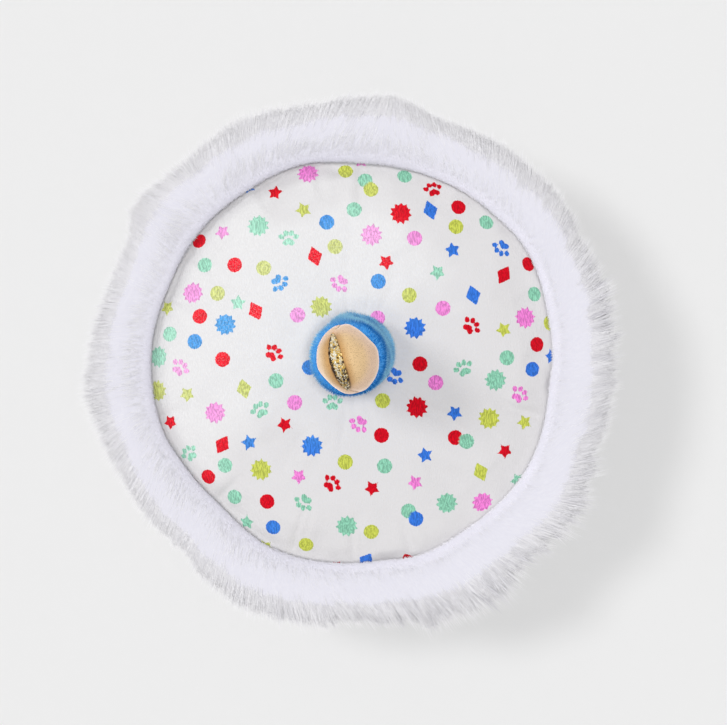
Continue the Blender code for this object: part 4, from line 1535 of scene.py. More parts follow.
@dataclass
class FurTrim:
    """The ring of long fur: a thick undercoat, and hairs that stand out of it and droop outwards."""

    form: CakeForm
    undercoat: Material
    hair_finish: Material
    hairs: int = 148_000
    sectors: int = 8
    face_rows: int = 72
    inner_rows: int = 10
    columns: int = 600
    mean_reach: float = 133 * MM
    mid_radius: float = 122 * MM
    settled: float = 18 * MM
    inset: float = 1.3 * MM
    buried: float = 2.4 * MM
    clump_width: float = 1.6 * MM
    clump_length: float = 5 * MM
    width: float = 0.1 * MM
    lit: float = 0.9
    droop: float = math.radians(38)
    bends: tuple[float, ...] = (0.0, 0.52, 1.0)
    bend_shares: tuple[float, ...] = (0.2, 0.85)
    length_spread: tuple[float, float] = (0.55, 1.18)
    width_spread: tuple[float, float] = (0.75, 1.25)

    def __post_init__(self) -> None:
        """Works out the outline's points once: share of the way, distance out of the seam, and height."""
        places = np.array((PILE_ENDS[0], *(corner[:2] for corner in PILE_CORNERS), PILE_ENDS[1]))
        step = np.linspace(0.0, 1.0, 25)[:, None]
        parts = [places[:1]]
        for index, (_, _, reach) in enumerate(PILE_CORNERS, 1):
            before, corner, after = places[index - 1 : index + 2]
            first, last = corner + unit(before - corner) * reach, corner + unit(after - corner) * reach
            parts.append(first * (1 - step) ** 2 + corner * 2 * step * (1 - step) + last * step**2)
        path = np.concatenate((*parts, places[-1:])) * MM
        run = np.append(0.0, np.cumsum(np.linalg.norm(np.diff(path, axis=0), axis=1)))
        self.run = float(run[-1])
        self.shares, self.outs, self.ups = run / run[-1], path[:, 0], path[:, 1]

    def fullness(self, angle: Array) -> Array:
        """How full the pile is round the ring, as a share of its mean depth, from the fur's seen outline."""
        seen = smooth_round(angle, FUR_TIP_PIXELS, 2.0) / FUR_PIXELS_PER_MM * MM
        return (seen - self.form.seam_radius) / (self.mean_reach - self.form.seam_radius)

    def hull(self, share: Array, angle: Array) -> tuple[Array, Array]:
        """The undercoat's face: its outline, filled out round the ring, over the lip and down to the band.

        Args:
            share: Shares of the way along the outline.
            angle: Angles round the ring.

        Returns:
            Radii and heights.
        """
        out, up = np.interp(share, self.shares, self.outs), np.interp(share, self.shares, self.ups)
        form = self.form
        full = self.fullness(angle)
        foot = form.seam_radius + (form.rim(angle) - form.seam_radius) * (1.0 - eased(out / self.settled))
        foot = foot - form.overhang(angle) * hump(share - 0.085, 0.045)
        low = 0.5 * (1.0 - towards(angle, 150)) * hump(share - 0.08, 0.07)
        slim = 1.0 - 0.1 * self.wild(angle) * eased(share * 3.0)
        return foot + out * full * slim, form.seam_height + up * (0.8 + 0.2 * full) * (1.0 - low)

    def facing(self, share: Array, angle: Array) -> Array:
        """Angle above level in which the undercoat's face looks, from the outline a little either side.

        Args:
            share: Shares of the way along the outline.
            angle: Angles round the ring.

        Returns:
            The angles above level.
        """
        near = self.hull(np.clip(share - 0.015, 0.0, 1.0), angle)
        far = self.hull(np.clip(share + 0.015, 0.0, 1.0), angle)
        return np.arctan2(far[0] - near[0], near[1] - far[1])

    def sweep(self, angle: Array) -> Array:
        """How far the hairs sweep anticlockwise of straight out, as an angle."""
        return np.radians(smooth_round(angle, SWEEP_DEGREES, 2.0))

    def wild(self, angle: Array) -> Array:
        """How clumped and unruly the hairs are, from 0 at the left to 1 at the lower right."""
        places = ((1.0, 300, 38), (0.8, 9, 17))
        parts = [
            much * hump(shorter_way(angle, math.radians(at)), math.radians(wide)) for much, at, wide in places
        ]
        return np.clip(0.2 + sum(parts), 0.0, 1.0)

    def tone(self, share: Array, angle: Array) -> Array:
        """How light the fur is, as painted shade: deeper at its lip, and most of all at the left, which faces
        away from the side lamp.
        """
        left = eased(0.6 + 0.6 * np.cos(angle - math.radians(170)))
        return 0.94 - hump(share - 0.07, 0.055) * (0.32 + 0.42 * left)

    def lifted(self, facing: Array, share: Array) -> Array:
        """Turns shading upwards over the top and the crest, as light that scatters in deep pile does."""
        lit = (self.lit + 0.6 * eased((share - 0.22) / 0.12)) * (1.0 - 0.95 * eased((share - 0.35) / 0.12))
        return unit(facing * (1.0 - 0.6 * lit[..., None]) + UPRIGHT * lit[..., None])

    def strands(self, draw: np.random.Generator) -> Strands:
        """Works out every hair at once.

        A hair starts a little under the undercoat's face, leaves along the pile's lie there, and droops.
        Hairs of one clump share a lean and a length, and close up towards their tips.

        Args:
            draw: The random draw.

        Returns:
            The hairs, sorted round the ring.
        """
        count, ring = self.hairs, self.mid_radius
        along, lies, lengths, crowd = np.array(HAIR_LIE).T
        fine = np.linspace(0.0, 1.0, 501)
        chance = np.cumsum(np.interp(fine, along, crowd))
        angle = np.sort(draw.uniform(0.0, TURN, count))
        share = np.interp(draw.uniform(0.0, 1.0, count), chance / chance[-1], fine)

        columns, rows = int(TURN * ring / self.clump_width), int(self.run / self.clump_length)
        column = np.floor(angle / TURN * columns).astype(int) % columns
        stagger = draw.uniform(0.0, 1.0, columns)[column]
        row = np.floor(share * rows + stagger).astype(int)
        traits = draw.uniform(-1.0, 1.0, (rows + 2, columns, 6))
        slip, drift, tilt, growth, turn, shade = traits[row, column].T
        aside = shorter_way(angle, (column + 0.5 + 0.35 * slip) / columns * TURN) * ring
        below = ((row + 0.5 - stagger + 0.35 * drift) / rows - share) * self.run

        radius, height = self.hull(share, angle)
        face = self.facing(share, angle)
        loose = eased((share - 0.15) * 5.6)
        wild = self.wild(angle) * loose
        buried = self.buried * np.clip(share * 4.0, 0.25, 1.0)
        radius, height = radius - buried * np.cos(face), height - buried * np.sin(face)

        flow = round_noise(angle, 110, 58, share * 12.0)
        roll = Lattice(59, 70).at(angle / TURN * 70 + 3.0, share * 8.0)
        lift = np.radians(np.interp(share, along, lies))
        lift = lift + (0.03 + 0.1 * wild) * tilt + (0.02 + 0.14 * wild) * roll
        lift = lift + (0.04 + 0.06 * loose) * draw.normal(size=count)
        long = np.interp(share, along, lengths) * MM + buried
        long = long * self.fullness(angle) * (1.0 + (0.05 + 0.2 * wild) * growth) * (1.0 + 0.3 * wild)
        long = long * draw.uniform(*self.length_spread, count)
        twist = self.sweep(angle) + (0.02 + 0.14 * wild) * turn + (0.04 + 0.3 * wild) * flow
        twist = (twist + 0.07 * draw.normal(size=count))[:, None]

        step = np.array(self.bends)[None, :]
        droop = self.droop * (0.8 + 0.2 * wild) * np.clip(np.cos(lift) + 0.2, 0.0, 1.0)
        turned = lift[:, None] - droop[:, None] * np.array(self.bend_shares)[None, :]
        pieces = long[:, None] * np.diff(step)
        none = np.zeros((count, 1))
        out = np.append(none, np.cumsum(np.cos(turned) * pieces, axis=1), axis=1)
        up = np.append(none, np.cumsum(np.sin(turned) * pieces, axis=1), axis=1)
        close = (0.12 + 0.2 * loose + 0.55 * wild)[:, None] * step**1.3
        slide = below[:, None] * close * 0.5
        across = out * np.sin(twist) - aside[:, None] * close
        reach = radius[:, None] + out * np.cos(twist) + slide * np.sin(face)[:, None]
        tall = height[:, None] + up - slide * np.cos(face)[:, None]
        away = round_places(1.0, angle, 0.0)[:, None]
        beside = np.cross(UPRIGHT, away)
        paths = reach[..., None] * away + across[..., None] * beside + tall[..., None] * UPRIGHT

        facing = self.lifted(np.cos(face)[:, None] * away[:, 0] + np.sin(face)[:, None] * UPRIGHT, share)
        girth = self.width * (1.0 + 0.3 * loose + 0.25 * wild) * draw.uniform(*self.width_spread, count)
        # Painted shade from tone(), and a random tone for each clump, wider where the hairs are wild, that also
        # paints shade between the clumps.
        tone = self.tone(share, angle) + 0.7 * shade * (0.08 + wild) + 0.06 * draw.normal(size=count)
        widths = girth[:, None] * np.array((1.0, 0.8))
        return Strands(paths, widths, np.clip(tone, 0.0, 1.0), facing, 0.95 - 0.2 * wild)

    def backing(self) -> None:
        """Makes the undercoat: a closed ring from the band's cloth out to the hull, with soft tufts."""
        form, ring = self.form, self.mid_radius
        share = np.linspace(0.0, 1.0, self.face_rows)[:, None]
        angle = ring_angles(self.columns)
        radius, height = self.hull(share, angle)
        face = self.facing(share, angle)
        lean = angle - share * self.run * np.tan(0.8 * self.sweep(angle)) / ring
        tufts = round_noise(lean, 150, 54, share * 9.0) + 0.5 * round_noise(lean, 70, 57, share * 6.0)
        depth = (0.07 + 0.33 * eased((share - 0.2) * 6.0)) * MM
        push = depth * tufts * eased(share * 10.0) * eased((1.0 - share) * 10.0)
        push = push - self.inset * eased((share - 0.08) * 8.0)
        outer = round_places(radius + push * np.cos(face), angle, height + push * np.sin(face))
        inner_height = np.linspace(form.band_foot(), form.seam_height, self.inner_rows)[:, None]
        inner_radius = form.wall(inner_height) - form.cloth + 0 * angle
        inner_radius[-1] = form.rim(angle[0]) - form.cloth
        grid = np.concatenate((outer, round_places(inner_radius, angle, inner_height)))
        faces = [grid_faces(*grid.shape[:2], True)]
        around = np.arange(self.columns)
        following = (around + 1) % self.columns
        last = (len(grid) - 1) * self.columns
        faces.append(np.stack((last + around, around, following, last + following), axis=-1))
        made = make_piece("fur_backing", grid, faces)
        shading = grid_normals(grid, True)
        shading[: self.face_rows] = self.lifted(shading[: self.face_rows], share)
        set_shading(made, shading)
        way = np.append(share * self.run, np.full((self.inner_rows, 1), self.run), axis=0) + 0 * angle
        turn = angle - way * np.tan(self.sweep(angle)) / ring
        mark_points(made, rest_place=np.stack((ring * np.cos(turn), way, ring * np.sin(turn)), axis=-1))
        inside = np.ones((self.inner_rows, self.columns))
        # The undercoat's painted shade, from tone(); inside the ring it stays light.
        mark_points(made, tone=np.concatenate((self.tone(share, angle), inside)))
        dress(made, self.undercoat)
        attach(made, "cake")
        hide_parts("fur_trim")

    def hair(self) -> None:
        """Makes the hairs, a piece for each sector of the ring."""
        grown = self.strands(np.random.default_rng(55))
        for number, part in enumerate(np.array_split(np.arange(self.hairs), self.sectors), 1):
            made = grown.picked(part).piece(f"fur_{number}")
            dress(made, self.hair_finish)
            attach(made, "cake")


# The candle


@dataclass(frozen=True)
class Seat:
    """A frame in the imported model: a joint's place, and the directions of the part that turns there."""

    origin: tuple[float, float, float]
    lean: float
    heading: float
    turn: float = 0.0

    def axis(self) -> tuple[float, float, float]:
        """The level line that the part leans about."""
        return -math.sin(self.heading), math.cos(self.heading), 0.0

    def world(self, local: Array) -> Array:
        """Carries places to the row frame: +Z tips by the lean towards the heading, after a turn about it."""
        tipped = Matrix.Rotation(self.lean, 3, Vector(self.axis())) @ Matrix.Rotation(self.turn, 3, "Z")
        return local @ np.array(tipped).T + np.array(self.origin)


@dataclass
class Candle:
    """The blue candle: a stuffed plush tube with a rolled rim, a disc sewn in its top, and a pleated foot."""

    seat: Seat
    plush: Material
    deep_plush: Material
    pile_finish: Material
    length: float = 68 * MM
    radius: float = 17.2 * MM
    waist: float = 0.2 * MM
    roll: float = 2.6 * MM
    roll_start: float = -0.95
    roll_rows: int = 16
    side_rows: int = 56
    foot_rows: int = 22
    disc_rows: int = 30
    columns: int = 168
    top_crown: float = 1.6 * MM
    top_sink: float = 0.8 * MM
    top_dive: float = 2.4 * MM
    foot_height: float = 14 * MM
    foot_radius: float = 13.5 * MM
    foot_low: float = -0.7 * MM
    pleats: int = 8
    pleat_depth: float = 0.9 * MM
    pile: float = 2.1 * MM
    pile_width: float = 0.11 * MM
    pile_hairs: int = 30_000
    disc_share: float = 0.1
    tuft_degrees: float = 105.0
    tuft_width: float = 13.0
    lit: float = 1.4
    split: float = 7 * MM

    def foot_share(self, height: Array) -> Array:
        """Share of the way up the foot."""
        return np.clip((height - self.foot_low) / (self.foot_height - self.foot_low), 0.0, 1.0)

    def side(self, height: Array) -> Array:
        """Radius of the tube: flared over the foot, then nearly straight with a slight waist.

        Args:
            height: Heights.

        Returns:
            The radii.
        """
        flare = self.radius - self.foot_radius
        foot = self.foot_radius + flare * np.sin(math.pi / 2 * self.foot_share(height))
        above = self.length - self.roll - self.foot_height
        share = np.clip((height - self.foot_height) / above, 0.0, 1.0)
        return np.where(height < self.foot_height, foot, self.radius - self.waist * np.sin(math.pi * share))

    def bent(self, local: Array) -> Array:
        """Bends the foot from upright at its sewn edge to the candle's lean at its top.

        Args:
            local: Points of the straight candle.

        Returns:
            Points in the row frame, each turned about the seat's axis by its share of the lean.
        """
        axis = np.array(self.seat.axis())
        turn = self.seat.lean * self.foot_share(local[..., 2:])
        along = (local @ axis)[..., None] * axis * (1.0 - np.cos(turn))
        turned = local * np.cos(turn) + np.cross(axis, local) * np.sin(turn) + along
        return turned + np.array(self.seat.origin)

    def skin(self, local: Array, angle: Array) -> Array:
        """Pushes the tube's face in and out: pleats at the foot, soft creases and small lumps above.

        Args:
            local: Points of the straight candle.
            angle: Angles of its columns.

        Returns:
            The points, pushed.
        """
        height = local[..., 2]
        share = self.foot_share(height)
        pleat = (1.0 - share) * (0.5 - 0.5 * np.cos(self.pleats * angle)) * self.pleat_depth
        crease = 0.5 * MM * round_noise(angle, 9, 61, height / (13 * MM) + 0.6 * np.sin(2 * angle))
        slant = angle / TURN * 14 + height / (9 * MM)
        crease = crease + 0.4 * MM * Lattice(67, 14).at(slant, height / (22 * MM))
        lumps = 0.16 * MM * round_noise(angle, 36, 62, height / (2.6 * MM))
        inwards = pleat - (crease + lumps) * eased(share * 2.0)
        radius = np.hypot(local[..., 0], local[..., 1])
        scale = ((radius - inwards) / np.maximum(radius, 1e-6))[..., None]
        return local * np.concatenate((scale, scale, np.ones_like(scale)), axis=-1)

    def tube(self) -> Array:
        """Works out the whole tube, from inside the rolled rim down to the sewn foot.

        Returns:
            Its points in the row frame.
        """
        centre, top = self.radius - self.roll, self.length - self.roll
        turns = np.linspace(self.roll_start, math.pi / 2, self.roll_rows)
        rim = np.stack((centre + self.roll * np.sin(turns), top + self.roll * np.cos(turns)), axis=1)
        upper = np.linspace(top, self.foot_height, self.side_rows)[1:]
        lower = np.linspace(self.foot_height, self.foot_low, self.foot_rows)[1:]
        height = np.concatenate((upper, lower))
        profile = np.concatenate((rim, np.stack((self.side(height), height), axis=1)))
        angle = ring_angles(self.columns)
        return self.bent(self.skin(round_places(profile[:, :1], angle, profile[:, 1:]), angle))

    def sleeve(self) -> Array:
        """Makes the tube's two pieces, cut where they bend.

        Returns:
            The points of the whole tube.
        """
        grid = self.tube()
        middle = self.seat.origin[2] + self.split
        cut = int(np.argmin(np.abs(grid[..., 2].mean(1) - middle)))
        parts = {"candle_sleeve": grid[: cut + 1], "candle_foot": grid[cut:]}
        for name, part in parts.items():
            made = make_piece(name, part, [grid_faces(*part.shape[:2], True)])
            mark_points(made, rest_place=part)
            dress(made, self.plush)
            self.bend(made, name == "candle_foot")
            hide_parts(name)
        return grid

    def bend(self, piece: Piece, low: bool) -> None:
        """Bakes a piece's transform into its points, the same for the lower piece and the upper one.

        Args:
            piece: The piece.
            low: Whether it is the lower one.
        """
        if low:
            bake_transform(piece)
        else:
            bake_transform(piece)

    def disc(self) -> Array:
        """Makes the disc in the candle's top: a low dome whose edge dives inside the rolled rim.

        Returns:
            The disc's points.
        """
        share = np.linspace(0.02, 1.0, self.disc_rows)[:, None]
        angle = ring_angles(self.columns)
        dome = self.length - self.top_sink + self.top_crown * (1.0 - share**2)
        height = dome - self.top_dive * eased((share - 0.72) / 0.28)
        height = height + 0.15 * MM * round_noise(angle, 20, 63, share * 6.0)
        edge = self.radius - self.roll - 0.5 * MM
        grid = self.seat.world(round_places(share * edge, angle, height))
        points, faces = closed_form(grid, grid[0].mean(0), None)
        made = make_piece("candle_top", points, faces)
        mark_points(made, rest_place=points)
        # The top's deep blue is painted shade under the flame.
        dress(made, self.deep_plush)
        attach(made, "candle")
        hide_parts("candle_top")
        return grid

    def fuzz(self, tube: Array, disc: Array) -> None:
        """Sows the short pile over the tube and the disc, leaning down the candle and a little to one side.

        Args:
            tube, disc: Points of the two.
        """
        draw = np.random.default_rng(64)
        pile, roots = self.sown(tube, int(self.pile_hairs * (1 - self.disc_share)), draw, True)
        height = roots[:, 2] - self.seat.origin[2]
        for name, low in (("candle_pile", False), ("candle_foot_pile", True)):
            made = pile.picked(np.flatnonzero((height < self.split) == low)).piece(name)
            dress(made, self.pile_finish)
            self.bend(made, low)
        pile, _ = self.sown(disc, int(self.pile_hairs * self.disc_share), draw, False)
        made = pile.piece("candle_top_pile")
        dress(made, self.pile_finish)
        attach(made, "candle")

    def sown(
        self, grid: Array, count: int, draw: np.random.Generator, on_tube: bool
    ) -> tuple[Strands, Array]:
        """Sows pile over a grid, evenly for its area.

        Args:
            grid: Points of the face, rows outwards or down.
            count: How many hairs.
            draw: The random draw.
            on_tube: Whether the face is the tube, which has a tuft at its upper edge and streaks of nap below
                its rim.

        Returns:
            The hairs, and the place where each grows.
        """
        rows, columns = grid.shape[:2]
        steps = np.gradient(grid, axis=0)
        ring = np.linalg.norm(np.roll(grid, -1, axis=1) - grid, axis=-1)
        weight = (ring * np.linalg.norm(steps, axis=-1)).ravel()
        cell = draw.choice(rows * columns, count, p=weight / weight.sum())
        row, column = cell // columns, cell % columns
        slip = draw.uniform(-0.5, 0.5, (2, count, 1))
        start = grid[row, column]
        beyond, below = grid[row, (column + 1) % columns], grid[np.minimum(row + 1, rows - 1), column]
        start = start + (beyond - start) * slip[0] + (below - start) * slip[1]

        normal, lay = grid_normals(grid, True)[row, column], unit(steps)[row, column]
        swirl = (0.5 * Lattice(65).layered(row / 7.0, column / 9.0) + 0.35)[:, None]
        lean = draw.normal(0.4, 0.2, count)[:, None]
        combed = (lay * np.cos(swirl) + np.cross(normal, lay) * np.sin(swirl)) * lean
        aim = unit(normal + combed + 0.22 * draw.normal(size=(count, 3)))
        tuft = hump(column / columns * 360.0 - self.tuft_degrees, self.tuft_width) * on_tube
        aim = unit(aim + 0.35 * tuft[:, None] * draw.normal(size=(count, 3)))
        long = self.pile * (draw.uniform(0.6, 1.15, count) * (1.0 + 1.1 * tuft))[:, None, None]
        reach = np.array((0.0, 1.0))[None, :, None]
        paths = start[:, None] - 0.15 * MM * normal[:, None] + aim[:, None] * reach * long
        thick = self.pile_width * draw.uniform(0.75, 1.3, (count, 1))

        slant = row / 7.0 + 2.0 * np.sin(column / columns * TURN * 2.0)
        streaks = Lattice(66, 12).layered(column / columns * 12, slant)
        # Painted light and shade at the rim and on the top: light on the side towards the lamp, deep on the far
        # side, under the flame. Below the rim, where worn reaches 1, the tone follows the nap's streaks.
        lit_side = np.clip(np.cos((column / columns - 0.42) * TURN), 0.0, 1.0)
        worn = eased((row - 14) / 8.0) * on_tube
        level = (0.95 + 0.7 * streaks) * worn + (0.05 + 0.75 * lit_side) * (1.0 - worn)
        tone = np.clip(level + draw.normal(0.0, 0.13, count), 0.0, 1.0)
        return Strands(paths, thick, tone, unit(normal + self.lit * UPRIGHT), np.full(count, 0.85)), start


# The flame


@dataclass
class Flame:
    """The flame: two velour cheeks that meet in a seam, and a lens of gold cloth let in over the tip."""

    seat: Seat
    velour: Material
    gold_cloth: Material
    height: float = 40 * MM
    foot: float = 5 * MM
    half_width: float = 14.4 * MM
    half_breadth: float = 16 * MM
    skew: float = 0.28
    foot_power: float = 1.6
    tip_power: float = 1.0
    lens_length: float = 14.0 * MM
    lens_width: float = 3.7 * MM
    lens_offset: float = -1.0 * MM
    lens_bow: float = -1.0 * MM
    lens_lower_power: float = 0.42
    lens_upper_power: float = 0.75
    groove: float = 0.9 * MM
    corner_cut: float = 0.16
    right_cut: float = 0.035
    left_groove: float = 0.6
    across: int = 120
    around: int = 90
    gold_rows: int = 44
    end_gap: float = 0.012

    def outline(self) -> tuple[Array, Array]:
        """A sine to a power that slides from tip to foot, skewed low.

        Returns:
            Radius and height from tip to foot.
        """
        turns = np.linspace(math.pi, 0.0, 400)
        upwards = (1.0 - np.cos(turns)) / 2
        power = self.foot_power + (self.tip_power - self.foot_power) * upwards
        radius = np.clip(np.sin(turns), 0.0, 1.0) ** power * (1.0 + self.skew * np.cos(turns))
        return radius * self.half_width / radius.max(), (self.height + self.foot) * upwards - self.foot

    def surface(self, direction: Array) -> Array:
        """Where rays from the belly's middle leave the flame.

        Args:
            direction: Directions in the flame's own frame.

        Returns:
            A point for each.
        """
        radius, height = self.outline()
        belly = height[int(np.argmax(radius))]
        polar = np.arctan2(radius, height - belly)
        reach = np.hypot(radius, height - belly)
        squeeze = np.array((1.0, self.half_width / self.half_breadth, 1.0))
        aimed = unit(direction * squeeze)
        tilt = np.arctan2(np.hypot(aimed[..., 0], aimed[..., 1]), aimed[..., 2])
        hit = aimed * np.interp(tilt, polar, reach)[..., None] / squeeze
        corner = hit[..., 0] * hit[..., 1] / (self.half_width * self.half_breadth)
        right = np.clip(hit[..., 0] / self.half_width, 0.0, 1.0)
        hit[..., 0] = hit[..., 0] * (1.0 - self.corner_cut * eased(corner * 1.6) - self.right_cut * right)
        return hit + UPRIGHT * belly

    def half_lens(self, along: Array) -> Array:
        """Half width of the gold at each place along it: an arc's at its upper end, blunter at its lower."""
        share = np.clip(1.0 - (along / self.lens_length) ** 2, 0.0, 1.0)
        return self.lens_width * share ** np.where(along < 0.0, self.lens_lower_power, self.lens_upper_power)

    def lens_middle(self, along: Array) -> Array:
        """Where the gold's middle runs, a little to the left; past its ends it comes back to the seam."""
        past = eased((np.abs(along) - self.lens_length) / (self.half_breadth - self.lens_length))
        share = np.clip(np.abs(along) / self.lens_length, 0.0, 1.0)
        return (self.lens_offset + self.lens_bow * share**2) * (1.0 - past)

    def meridians(self, inner: Array, outer: Array, rows: int) -> Array:
        """Points of a slice: meridians from one end of the long axis to the other, between two tilts.

        Args:
            inner, outer: Tilt from upright of the first and the last meridian at each place along it.
            rows: How many meridians.

        Returns:
            A grid of points in the flame's frame, a row for each meridian.
        """
        along = np.linspace(self.end_gap, math.pi - self.end_gap, self.across)[None, :]
        share = np.linspace(0.0, 1.0, rows)[:, None]
        tilt = inner * (1 - share) + outer * share
        level = np.sin(along)
        depth = -np.cos(along) + 0 * tilt
        return self.surface(np.stack((level * np.sin(tilt), depth, level * np.cos(tilt)), axis=-1))

    def edge_tilt(self, side: float) -> Array:
        """Tilt of the meridian along one edge of the gold, stepped until it lies on the lens's edge.

        Args:
            side: 1 for the right edge, -1 for the left.

        Returns:
            The tilt at each step along it.
        """
        tilt = np.full((1, self.across), 0.1 * side)
        step = 0.01
        for _ in range(16):
            here, beside = self.meridians(tilt, tilt, 1), self.meridians(tilt + step, tilt + step, 1)
            wanted = self.lens_middle(here[..., 1]) + side * (self.half_lens(here[..., 1]) + 0.02 * MM)
            slope = np.maximum((beside[..., 0] - here[..., 0]) / step, 0.5 * MM)
            tilt = np.clip(tilt + 0.7 * (wanted - here[..., 0]) / slope, -0.9, 0.9)
        return tilt

    def cheek(self, name: str, side: float) -> None:
        """Makes one cheek, from the gold's edge round its belly to the seam under the foot.

        Args:
            name: Name of the piece and of the node that it replaces.
            side: 1 for the right cheek, -1 for the left.
        """
        edge = self.edge_tilt(side)
        grid = self.meridians(edge, np.full_like(edge, side * (math.pi - 0.02)), self.around)
        x, y, z = (grid[..., place] for place in range(3))
        distance = np.hypot(x - x[:1], z - z[:1])
        upper = eased((z + 2 * MM) / (8 * MM))
        sink = self.groove * np.exp(-distance / (1.0 * MM)) * upper
        puff = 0.3 * MM * hump(distance - 6 * MM, 4 * MM) * upper
        folds = 0.22 * MM * Lattice(71).layered(x / (7 * MM) + 3 + side, y / (6 * MM) + 5)
        held = 1.0 - np.exp(-distance / (1.5 * MM))
        normal = grid_normals(grid, False)
        normal = normal * np.sign((normal * (grid - UPRIGHT * 12 * MM)).sum(-1, keepdims=True))
        grid = grid + normal * ((puff + folds) * held - sink)[..., None]
        x, y, z = (grid[..., place] for place in range(3))
        points = self.seat.world(grid.reshape(-1, 3))
        faces = grid_faces(*grid.shape[:2], False)
        made = make_piece(name, points, [faces if side > 0 else faces[:, ::-1]])
        share = np.hypot(x / self.half_width, y / self.half_breadth)
        low = np.where(z < 8 * MM, 1.0, 0.0)
        line = np.exp(-distance / (0.3 * MM)) * (0.15 + 0.75 * eased((2 * MM - y) / (8 * MM)))
        # The left cheek's painted shade reaches farther from the gold, as left_groove counts its distance short.
        # cheek_share sets the painted sheen towards the rim.
        reach = distance / MM * (1.0 if side > 0 else self.left_groove)
        mark_points(made, seam_distance=reach, seam_line=line, cheek_share=np.maximum(share**2, low))
        mark_points(made, rest_place=points)
        dress(made, self.velour)
        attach(made, "flame")
        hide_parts(name)

    def gold(self) -> None:
        """Makes the gold lens: it dips in the groove, and is crinkled into small facets."""
        grid = self.meridians(self.edge_tilt(-1.0), self.edge_tilt(1.0), self.gold_rows)
        across = np.linspace(-1.0, 1.0, self.gold_rows)[:, None]
        middle = 1.0 - across**2
        ends = eased(self.half_lens(grid[..., 1]) / (1.2 * MM))
        x, y = grid[..., 0] / MM, grid[..., 1] / MM
        crinkle = 0.4 * MM * (1.0 - 2.0 * np.abs(Lattice(72).layered(x / 1.0 + 20, y / 1.2 + 20)))
        drop = -0.5 * self.groove - 0.4 * MM * (1.0 - middle) + (0.5 * MM * middle + crinkle) * ends
        grid = grid + grid_normals(grid, False) * drop[..., None]
        y = grid[..., 1]
        # low_end: the worn knit that shows at the lower end. left_edge: painted shade where the gold turns down
        # into the groove at its left.
        low_end = eased((-2 * MM - y) / (5 * MM))
        left_edge = eased((-0.2 - across) / 0.4) * eased((y + 9 * MM) / (3 * MM))
        grid[..., 2] = np.where(ends < 0.02, grid[..., 2] - 1.2 * MM, grid[..., 2])
        points = self.seat.world(grid.reshape(-1, 3))
        made = make_piece("flame_gusset", points, [grid_faces(*grid.shape[:2], False)], smooth=False)
        # worn holds both, the worn knit and the painted shade; middle_share places the painted glints.
        worn = np.clip(left_edge + 0.45 * low_end, 0.0, 1.0)
        mark_points(made, middle_share=np.sqrt(middle) * ends, worn_share=worn, rest_place=points)
        dress(made, self.gold_cloth)
        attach(made, "flame")
        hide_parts("flame_gusset")


# Filling and squeaker


@dataclass
class Filling:
    """The fibre filling, in lumpy wads inside the covers."""

    material: Material
    columns: int = 72
    waves: int = 18
    lumps: float = 0.012
    meeting: float = 0.5 * MM
    overlap: float = 1.5 * MM
    flame_tip: float = 0.5 * MM

    def turned(
        self, name: str, radius: Array, height: Array, body: str, seat: Seat | None = None, tip: float = 0.0
    ) -> None:
        """Makes a closed wad by turning a profile about its middle line.

        Args:
            name: Name of the piece and of the node that it replaces.
            radius, height: The profile's radii and heights, from top to bottom.
            body: Body that it rides on.
            seat: Frame of the profile, or None for the row frame.
            tip: How far its end points stand beyond the profile.
        """
        angle = ring_angles(self.columns)
        rows = np.arange(len(radius))[:, None]
        lumps = 1.0 + self.lumps * round_noise(angle, self.waves, 81, rows * 0.9)
        grid = round_places(radius[:, None] * lumps, angle, height[:, None])
        points, faces = closed_form(grid, UPRIGHT * (height[0] + tip), UPRIGHT * (height[-1] - tip))
        points = seat.world(points) if seat else points
        made = make_piece(name, points, faces)
        mark_points(made, rest_place=points)
        dress(made, self.material)
        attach(made, body)
        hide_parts(name)

    def cake(self, form: CakeForm) -> None:
        """Fills the cake: a lower wad with the squeaker in it, and an upper one under the crown.

        Args:
            form: The cake's form.
        """
        low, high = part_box("stuffing_lower")
        middle = high.z - self.meeting
        height = np.linspace(middle, low.z + 1 * MM, 9)
        self.turned("stuffing_lower", form.wall(height) - 5 * MM, height, "cake")
        share = np.linspace(0.1, 0.93, 12)
        sides = np.linspace(70 * MM, middle + self.overlap, 5)
        radius = np.concatenate((share * form.seam_radius, form.wall(sides) - 6 * MM))
        self.turned("stuffing_upper", radius, np.concatenate((form.crown(share) - 7 * MM, sides)), "cake")

    def candle(self, candle: Candle) -> None:
        """Fills the candle.

        Args:
            candle: The candle.
        """
        height = np.linspace(candle.length - 6 * MM, candle.foot_height + 1 * MM, 9)
        self.turned("candle_stuffing", candle.side(height) - 3 * MM, height, "candle", candle.seat)

    def flame(self, flame: Flame) -> None:
        """Fills the flame.

        Args:
            flame: The flame.
        """
        radius, height = (values[20:-20:20] for values in flame.outline())
        height = height * 0.9 + 1 * MM
        self.turned("flame_stuffing", radius * 0.84, height, "flame", flame.seat, self.flame_tip)


def dress_squeaker(material: Material) -> None:
    """Gives the squeaker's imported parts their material; their shapes stay.

    Args:
        material: The soft plastic.
    """
    for name in ("squeaker_base", "squeaker_reed", "squeaker_bellows", "squeaker_crown"):
        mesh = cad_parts[name].data
        mesh.materials.clear()
        mesh.materials.append(material)


# The studio


@dataclass(frozen=True)
class Lamp:
    """A far, soft lamp: where it stands, how wide it looks, and its share of a level white paper's light."""

    name: str
    azimuth: float
    height: float
    width: float
    share: float

    def build(self) -> None:
        """Adds the lamp, with the power that gives its share."""
        data = bpy.data.lights.new(self.name, "SUN")
        data.angle = self.width
        data.energy = self.share * math.pi / math.sin(self.height)
        lamp = bpy.data.objects.new(self.name, data)
        level = math.cos(self.height)
        aim = Vector((level * math.cos(self.azimuth), level * math.sin(self.azimuth), math.sin(self.height)))
        lamp.location = aim
        lamp.rotation_euler = aim.to_track_quat("Z", "Y").to_euler()
        bpy.context.scene.collection.objects.link(lamp)


